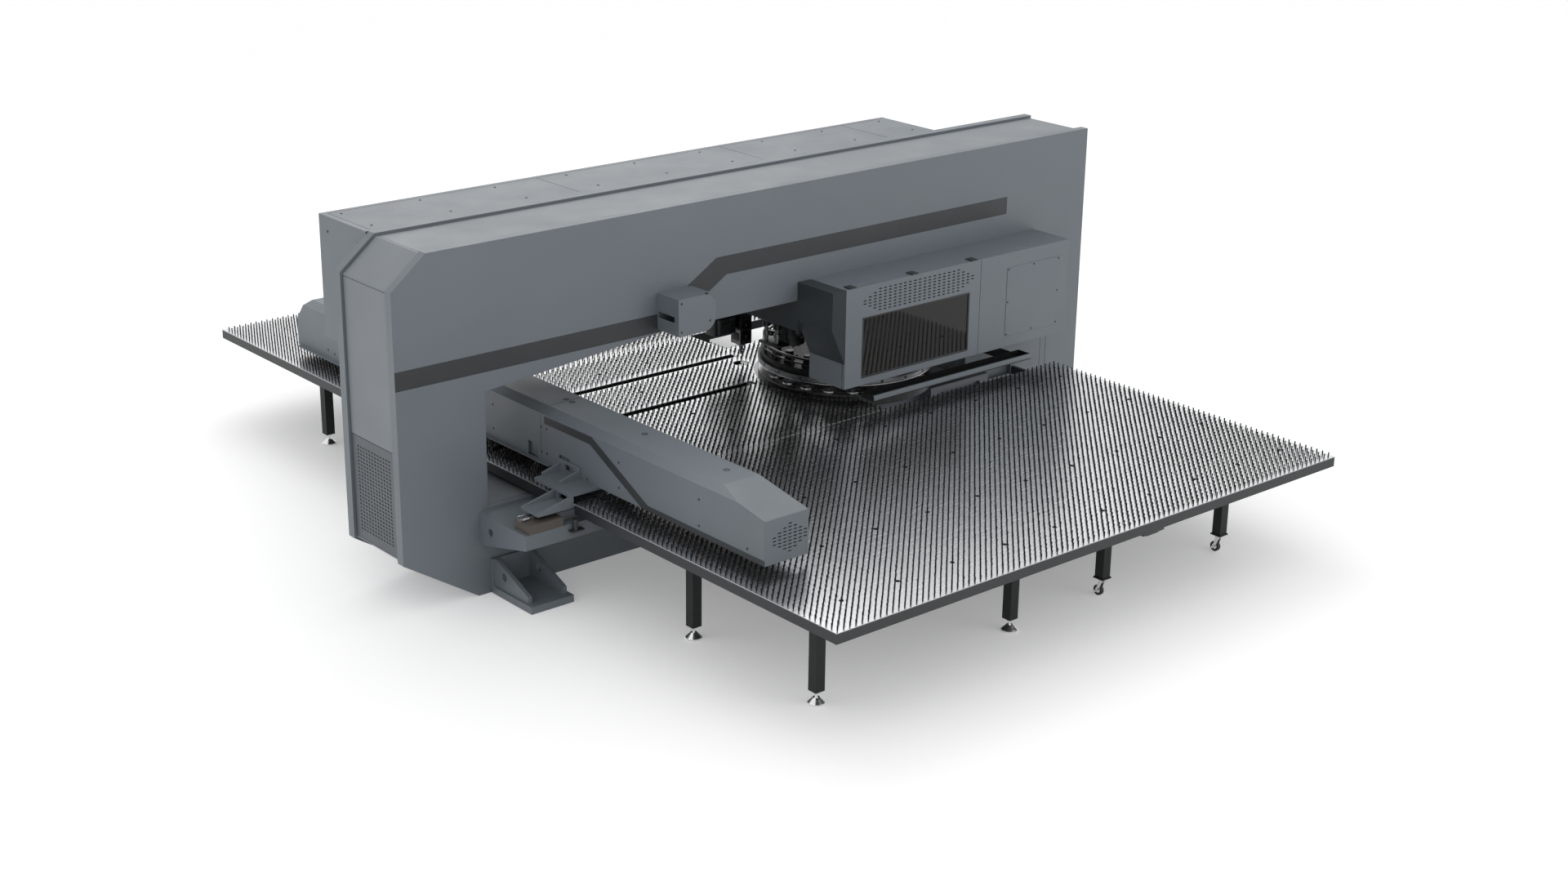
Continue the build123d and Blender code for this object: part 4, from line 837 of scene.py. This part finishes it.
def rim_holes(name, body, count, height, radius, proud):
    """Dark discs around a turret's rim: painted shade standing for its holes."""
    sunk = 0.004
    # Each disc is painted shade in place of a hole
    holes = Shape()
    for place in ring_places(TURRET_CENTRE, RIM_RADIUS, count, height):
        out = (place - Vector((TURRET_CENTRE.x, TURRET_CENTRE.y, place.z))).normalized()
        holes.rod(place - out * sunk, place + out * proud, radius, sides=14)
    holes.piece(name, body, "dark_paint")


def tool_springs():
    """Stripper springs around the tools."""
    radius, rise, pitch, coils = 0.555, 0.112, 0.012, 4
    coil = [(0.033, 0.0), (0.038, 0.003), (0.038, 0.006), (0.033, 0.009)]
    springs = Shape()
    for place in ring_places(TURRET_CENTRE, radius, TOOL_COUNT, TURRET_LOW.z + rise):
        for turn in range(coils):
            springs.lathe(place + up(pitch * turn), coil, sides=16)
    springs.piece("tool_springs", "turret_upper", "dark_steel")


def turret_details():
    """Bolts, rims, cage, springs and dark hole discs of both turrets; the discs are painted shade."""
    turret_bolts()
    turret_rim()
    turret_cage()
    rim_holes("turret_rim_holes", "turret_upper", TOOL_COUNT, TURRET_LOW.z + 0.026, 0.0125, proud=0.0018)
    tool_springs()
    die_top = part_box("lower_turret")[1].z
    rim_holes("die_rim_holes", "turret_lower", 2 * TOOL_COUNT, die_top - 0.03, 0.014, proud=0.0008)
    base = Vector((TURRET_CENTRE.x, TURRET_CENTRE.y, die_top))
    ring = Shape().ring(base, radii=(0.575, 0.652), heights=(0.0001, 0.0012), sides=96)
    ring.piece("die_ring", "turret_lower", "machined_steel")


def ram_details():
    """Striker frame around the punch ram: flange bolts, guide rods, side cylinders and a hose block."""
    low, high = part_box("ram_housing")
    centre = (low + high) / 2
    side = Vector((low.x, centre.y, low.z))
    steel, dark = Shape(), Shape()

    flange_radius, flange_count, bolt_radius, bolt_drop = 0.095, 8, 0.009, 0.012
    for place in ring_places(centre, flange_radius, flange_count, low.z):
        steel.rod(place - up(bolt_drop), place, bolt_radius, sides=6)

    guides = (Vector((-0.055, -0.05, 0.02)), Vector((-0.055, 0.07, 0.02)))
    guide_radius, guide_height = 0.016, 0.2
    collar_radii, collar_ends = (0.026, 0.024), (0.05, 0.085)
    cylinder_radius, cylinder_ends = 0.03, (0.12, 0.3)
    for guide in guides:
        foot = side + guide
        steel.rod(foot, foot + up(guide_height), guide_radius, sides=20)
        steel.rod(foot + up(collar_ends[0]), foot + up(collar_ends[1]), *collar_radii, sides=20)
        dark.rod(foot + up(cylinder_ends[0]), foot + up(cylinder_ends[1]), cylinder_radius)

    upper_plate = (Vector((-0.1, -0.1, 0.19)), Vector((0.03, 0.12, 0.235)))
    lower_plate = (Vector((-0.085, -0.09, 0.005)), Vector((0.03, 0.11, 0.03)))
    plate_bevel = 0.004
    for plate_low, plate_high in (upper_plate, lower_plate):
        dark.box(side + plate_low, side + plate_high, plate_bevel)

    block_low, block_high, block_bevel = Vector((-0.02, -0.06, 0.06)), Vector((0.09, 0.01, 0.2)), 0.006
    dark.box(low + block_low, low + block_high, block_bevel)
    for place, length, radius, sides in (
        (Vector((0.03, -0.05, 0.13)), 0.035, 0.022, 20),
        (Vector((0.065, -0.05, 0.09)), 0.025, 0.012, 16),
    ):
        end = low + place
        steel.rod(end + TO_FRONT * length, end, radius, sides=sides)

    steel.piece("striker_steel", "machine", "machined_steel", "worn_steel")
    dark.piece("striker_frame", "machine", "dark_steel")


def laser_details():
    """Lens drawers with their knobs, and collars of the laser head."""
    low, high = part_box("laser_head")
    centre = (low + high) / 2
    block_low = low.z + 0.09
    drawer_rises, drawer_height, inset, proud, bevel = (0.03, 0.12), 0.06, 0.012, 0.003, 0.001
    knob_radii, knob_length = (0.011, 0.009), 0.007
    dark, steel = Shape(), Shape()
    for rise in drawer_rises:
        bottom = block_low + rise
        top = bottom + drawer_height
        dark.box((low.x + inset, low.y - proud, bottom), (high.x - inset, low.y, top), bevel)
        dark.box((low.x - proud, low.y + inset, bottom), (low.x, high.y - inset, top), bevel)
        knob = Vector((centre.x, low.y - proud, (bottom + top) / 2))
        steel.rod(knob, knob + TO_FRONT * knob_length, *knob_radii, sides=16)

    collar_height, seat = 0.018, 0.002
    socket = [(0.015, 0), (0.036, 0), (0.036, 0.004), (0.03, 0.009), (0.015, 0.009)]
    collar_foot = Vector((centre.x, centre.y, block_low - collar_height))
    steel.ring(collar_foot, radii=(0.02, 0.034), heights=(0, collar_height), sides=32)
    steel.lathe(Vector((centre.x, centre.y, high.z - seat)), socket, sides=32)
    dark.piece("laser_drawers", "laser", "dark_steel")
    steel.piece("laser_collars", "laser", "machined_steel")


def laser_side_box():
    """Dark drive box beside the laser's mounting plate, with a motor, a cover and its screws."""
    plate_low, plate_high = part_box("laser_plate")
    corner = Vector((plate_low.x, plate_high.y, 0))
    box_low, box_high, box_bevel = Vector((-0.205, -0.11, 0.965)), Vector((-0.001, 0, 1.17)), 0.004
    motor_low, motor_high, motor_bevel = Vector((-0.19, -0.15, 0.985)), Vector((-0.09, -0.11, 1.1)), 0.006
    cap, cap_depth, cap_radii = Vector((-0.14, -0.165, 1.04)), 0.015, (0.034, 0.03)
    box = Shape()
    box.box(corner + box_low, corner + box_high, box_bevel)
    box.box(corner + motor_low, corner + motor_high, motor_bevel)
    box.rod(corner + cap, corner + cap - TO_FRONT * cap_depth, *cap_radii, sides=28)
    box.piece("laser_side_box", "machine", "dark_paint")

    cover_low, cover_high, cover_bevel = Vector((-0.075, -0.118, 1.0)), Vector((-0.012, -0.11, 1.09)), 0.002
    screw_columns, screw_rows, screw_radius = (-0.068, -0.02), (1.01, 1.08), 0.005
    cover = Shape()
    cover.box(corner + cover_low, corner + cover_high, cover_bevel)
    spots = [corner + Vector((x, cover_low.y, z)) for x in screw_columns for z in screw_rows]
    add_screws(cover, spots, TO_FRONT, screw_radius)
    cover.piece("laser_side_cover", "machine", "machined_steel", "worn_steel")


def rail_details():
    """Bolts of the front guide rail and the stops at its end."""
    rail_run, start, pitch, count = -0.4, 0.04, 0.09, 27
    rails_low, rails_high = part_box("guide_rails")
    y, top = FRONT + rail_run, rails_high.z
    bolts = Shape()
    for i in range(count):
        centre = Vector((rails_low.x + start + pitch * i, y, top))
        bolts.ring(centre, radii=(0.003, 0.0075), heights=(0.0001, 0.0007), sides=12)
    bolts.piece("rail_bolts", "machine", "dark_steel")

    offsets, inset, drop = (-0.0308, 0.0308), 0.012, 0.006
    stop_radius, stop_length, nut_radius, nut_ends = 0.0065, 0.05, 0.0095, (0.008, 0.018)
    block_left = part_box("rail_end_block")[0].x
    stops = Shape()
    for offset in offsets:
        foot = Vector((block_left + inset, y + offset, top - drop))
        stops.rod(foot, foot - TO_LEFT * stop_length, stop_radius, sides=16)
        stops.rod(foot - TO_LEFT * nut_ends[0], foot - TO_LEFT * nut_ends[1], nut_radius, sides=6)
    stops.piece("rail_stops", "machine", "machined_steel")


def leg_details():
    """Lock nuts and washers on the levelling feet."""
    nut_base, nut_radius, nut_height = 0.066, 0.019, 0.012
    nuts = Shape()
    for x, y in FOOT_PLACES:
        foot = at(x, y, nut_base)
        head = foot + up(nut_height)
        nuts.rod(foot, head, nut_radius, sides=6)
        nuts.ring(head, radii=(0.011, 0.024), heights=(0, 0.004), sides=24)
    nuts.piece("foot_nuts", "machine", "foot_metal")


def caster_details():
    """Hub caps and axle nuts of the casters."""
    hub_radii, hub_rise, nut_radius, nut_rise = (0.02, 0.017), 0.0012, 0.009, 0.005
    for number in (1, 2):
        low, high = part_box(f"caster_wheel_{number}")
        centre = (low + high) / 2
        hub = Shape()
        for out, x in ((TO_LEFT, low.x), (-TO_LEFT, high.x)):
            start = Vector((x, centre.y, centre.z))
            hub.rod(start, start + out * hub_rise, *hub_radii)
        hub.piece(f"wheel_hub_{number}", f"wheel_{number}", "foot_metal")
        low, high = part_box(f"caster_fork_{number}")
        nuts = Shape()
        for out, x in ((TO_LEFT, low.x), (-TO_LEFT, high.x)):
            start = Vector((x, centre.y, centre.z))
            nuts.rod(start, start + out * nut_rise, nut_radius, sides=6)
        nuts.piece(f"axle_nuts_{number}", f"fork_{number}", "foot_metal")


def table_screws():
    """Flat screw heads with shallow sockets in the front and middle table's sheet."""
    socket = [(0.0005, 0.0006), (0.005, 0.0006), (0.006, 0.0016)]
    head = socket + [(0.014, 0.0018), (0.0155, 0.0004), (0.0005, 0.0002)]
    start, pitch, front_count, middle_count = 1.28, 0.446, 10, 5
    front_rows, middle_rows = [-0.66 - 0.677 * row for row in range(4)], (-0.05, 0.38, 0.98, 1.5)
    screws = Shape()
    for count, rows in ((front_count, front_rows), (middle_count, middle_rows)):
        for column in range(count):
            for run in rows:
                screws.lathe(at(start + pitch * column, run, TABLE_TOP), head, sides=16)
    screws.piece("table_screws", "machine", "dark_paint", "bristle")


def rim_bracket():
    """Stepped bracket under the table's front rim."""
    bevel, deck = 0.002, TABLE_LOW.z
    steps = ((3.55, 3.75, 0.01, 0.13, 0.022, 0.0), (3.59, 3.71, 0.02, 0.11, 0.034, 0.022))
    bracket = Shape()
    for left, right, near, far, bottom, top in steps:
        low = (LEFT + left, TABLE_LOW.y + near, deck - bottom)
        bracket.box(low, (LEFT + right, TABLE_LOW.y + far, deck - top), bevel)
    bracket.piece("rim_bracket", "machine", "dark_paint")


def slot_ribs():
    """Folded dark ribs under the sheet along both neck slots of the middle table."""
    start, overrun, gap = 1.12, 0.03, 0.04
    depth, thick, flange = 0.052, 0.004, 0.02
    under = TABLE_TOP - 0.0062
    foot = under - depth
    ribs = Shape()
    for run, slot_end in NECK_SLOTS:
        end = slot_end + overrun
        for side in (-1, 1):
            near, far = sorted((run + side * gap, run + side * (gap + thick)))
            ribs.box(at(start, near, foot), at(end, far, under))
            near, far = sorted((run + side * (gap + thick), run + side * (gap + flange)))
            ribs.box(at(start, near, foot), at(end, far, foot + thick))
    ribs.piece("slot_ribs", "machine", "dark_paint", "bristle")


def recess_details():
    """White pipe elbow with a nut, in the right column's recess."""
    middle, radius, bend, steps = at(5.2, 0.02, 0.535), 0.011, 0.04, 6
    pipe_length, nut_radius, nut_ends = 0.045, 0.015, (0.02, 0.005)
    turns = [math.pi / 2 * i / steps for i in range(steps + 1)]
    points = [middle + Vector((bend * math.cos(a) - bend, 0, bend * math.sin(a))) for a in turns]
    elbow = Shape()
    for start, end in zip(points, points[1:]):
        elbow.rod(start, end, radius, sides=18)
    elbow.rod(middle - up(pipe_length), middle, radius, sides=18)
    elbow.rod(middle - up(nut_ends[0]), middle - up(nut_ends[1]), nut_radius, sides=6)
    elbow.piece("pipe_elbow", "machine", "wheel_plastic", "white_plastic")


def clamp_details():
    """Bolts on top of the sheet clamps."""
    inset, spread, radius, rise = 0.025, 0.04, 0.008, 0.006
    low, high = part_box("clamp_bodies")
    bolts = Shape()
    for number in (1, 2, 3):
        jaw_low, jaw_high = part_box(f"clamp_jaw_{number}")
        y = (jaw_low.y + jaw_high.y) / 2
        spots = [(low.x + inset, y + side * spread, high.z) for side in (-1, 1)]
        add_screws(bolts, spots, UP, radius, rise)
    bolts.piece("clamp_bolts", "saddle", "machined_steel")


def seen_rays(tree):
    """Whether a ray comes from the camera, a glossy surface or glass."""
    path = tree.nodes.new("ShaderNodeLightPath")
    seen = path.outputs["Is Camera Ray"]
    for ray in ("Is Glossy Ray", "Is Transmission Ray"):
        either = tree.nodes.new("ShaderNodeMath")
        either.operation = "MAXIMUM"
        tree.links.new(seen, either.inputs[0])
        tree.links.new(path.outputs[ray], either.inputs[1])
        seen = either.outputs["Value"]
    return seen


def floor():
    """Plain white floor, lifted a little where it is seen."""
    half = FLOOR_SIZE / 2
    corners = [(-half, -half, 0), (half, -half, 0), (half, half, 0), (-half, half, 0)]
    data = bpy.data.meshes.new("floor")
    data.from_pydata(corners, [], [(0, 1, 2, 3)])
    made = bpy.data.objects.new("floor", data)
    bpy.context.scene.collection.objects.link(made)
    material = bpy.data.materials.new("floor_white")
    material.use_nodes = True
    tree = material.node_tree
    shader = tree.nodes["Principled BSDF"]
    shader.inputs["Base Color"].default_value = FLOOR_COLOUR
    shader.inputs["Roughness"].default_value = FLOOR_ROUGHNESS
    lift = tree.nodes.new("ShaderNodeMath")
    lift.operation = "MULTIPLY"
    lift.inputs[1].default_value = FLOOR_LIFT
    tree.links.new(seen_rays(tree), lift.inputs[0])
    shader.inputs["Emission Color"].default_value = WHITE_LIGHT
    tree.links.new(lift.outputs["Value"], shader.inputs["Emission Strength"])
    data.materials.append(material)


def surroundings():
    """White studio around the machine, a little dimmer as a light than it looks."""
    world = bpy.data.worlds.new("studio")
    bpy.context.scene.world = world
    world.use_nodes = True
    tree = world.node_tree
    level = tree.nodes.new("ShaderNodeMapRange")
    level.inputs["To Min"].default_value = WORLD_LIGHT
    level.inputs["To Max"].default_value = WORLD_SEEN
    tree.links.new(seen_rays(tree), level.inputs["Value"])
    background = tree.nodes["Background"]
    background.inputs["Color"].default_value = WHITE_LIGHT
    tree.links.new(level.outputs["Result"], background.inputs["Strength"])


def lamps():
    """Broad soft lamps above, beside and in front of the machine."""
    for name, place, size, power in (
        ("top_lamp", (2, 6, 9), 9.0, TOP_LAMP_POWER),
        ("side_lamp", (-11, 1, 5), 6.0, SIDE_LAMP_POWER),
        ("fill_lamp", (3, -12, 5), 8.0, FILL_LAMP_POWER),
    ):
        lamp = bpy.data.lights.new(name, "AREA")
        lamp.shape = "SQUARE"
        lamp.size = size
        lamp.energy = power
        made = bpy.data.objects.new(name, lamp)
        made.location = place
        made.rotation_euler = (LAMP_TARGET - Vector(place)).to_track_quat("-Z", "Y").to_euler()
        bpy.context.scene.collection.objects.link(made)


def camera():
    """Camera at the photograph's angle."""
    level = Vector((math.sin(CAMERA_AZIMUTH), math.cos(CAMERA_AZIMUTH), 0))
    ahead = level * math.cos(CAMERA_ELEVATION) - UP * math.sin(CAMERA_ELEVATION)
    across = ahead.cross(UP).normalized()
    upright = across.cross(ahead)
    right = across * math.cos(CAMERA_ROLL) + upright * math.sin(CAMERA_ROLL)
    above = upright * math.cos(CAMERA_ROLL) - across * math.sin(CAMERA_ROLL)
    data = bpy.data.cameras.new("camera")
    data.sensor_width = SENSOR_WIDTH
    data.lens = CAMERA_LENS
    made = bpy.data.objects.new("camera", data)
    turn = Matrix((right, above, -ahead)).transposed().to_4x4()
    made.matrix_world = Matrix.Translation(CAMERA_PLACE) @ turn
    bpy.context.scene.collection.objects.link(made)
    bpy.context.scene.camera = made


bpy.context.scene.view_settings.view_transform = "Standard"
camera()
floor()
surroundings()
lamps()
paint_nodes()
brush_tufts("front_brush", in_bracket_slot)
brush_tufts("center_brush", in_center_cuts)
brush_tufts("rear_brush")
front_stripe()
beam_stripe()
frame_seams()
housing_details()
panel_details()
beam_details()
access_screws()
window_gasket()
tray_lip()
service_screws()
vent_shade_backings()
cut_backings()
rail_post()
turret_details()
ram_details()
laser_details()
laser_side_box()
rail_details()
leg_details()
caster_details()
table_screws()
rim_bracket()
slot_ribs()
recess_details()
clamp_details()
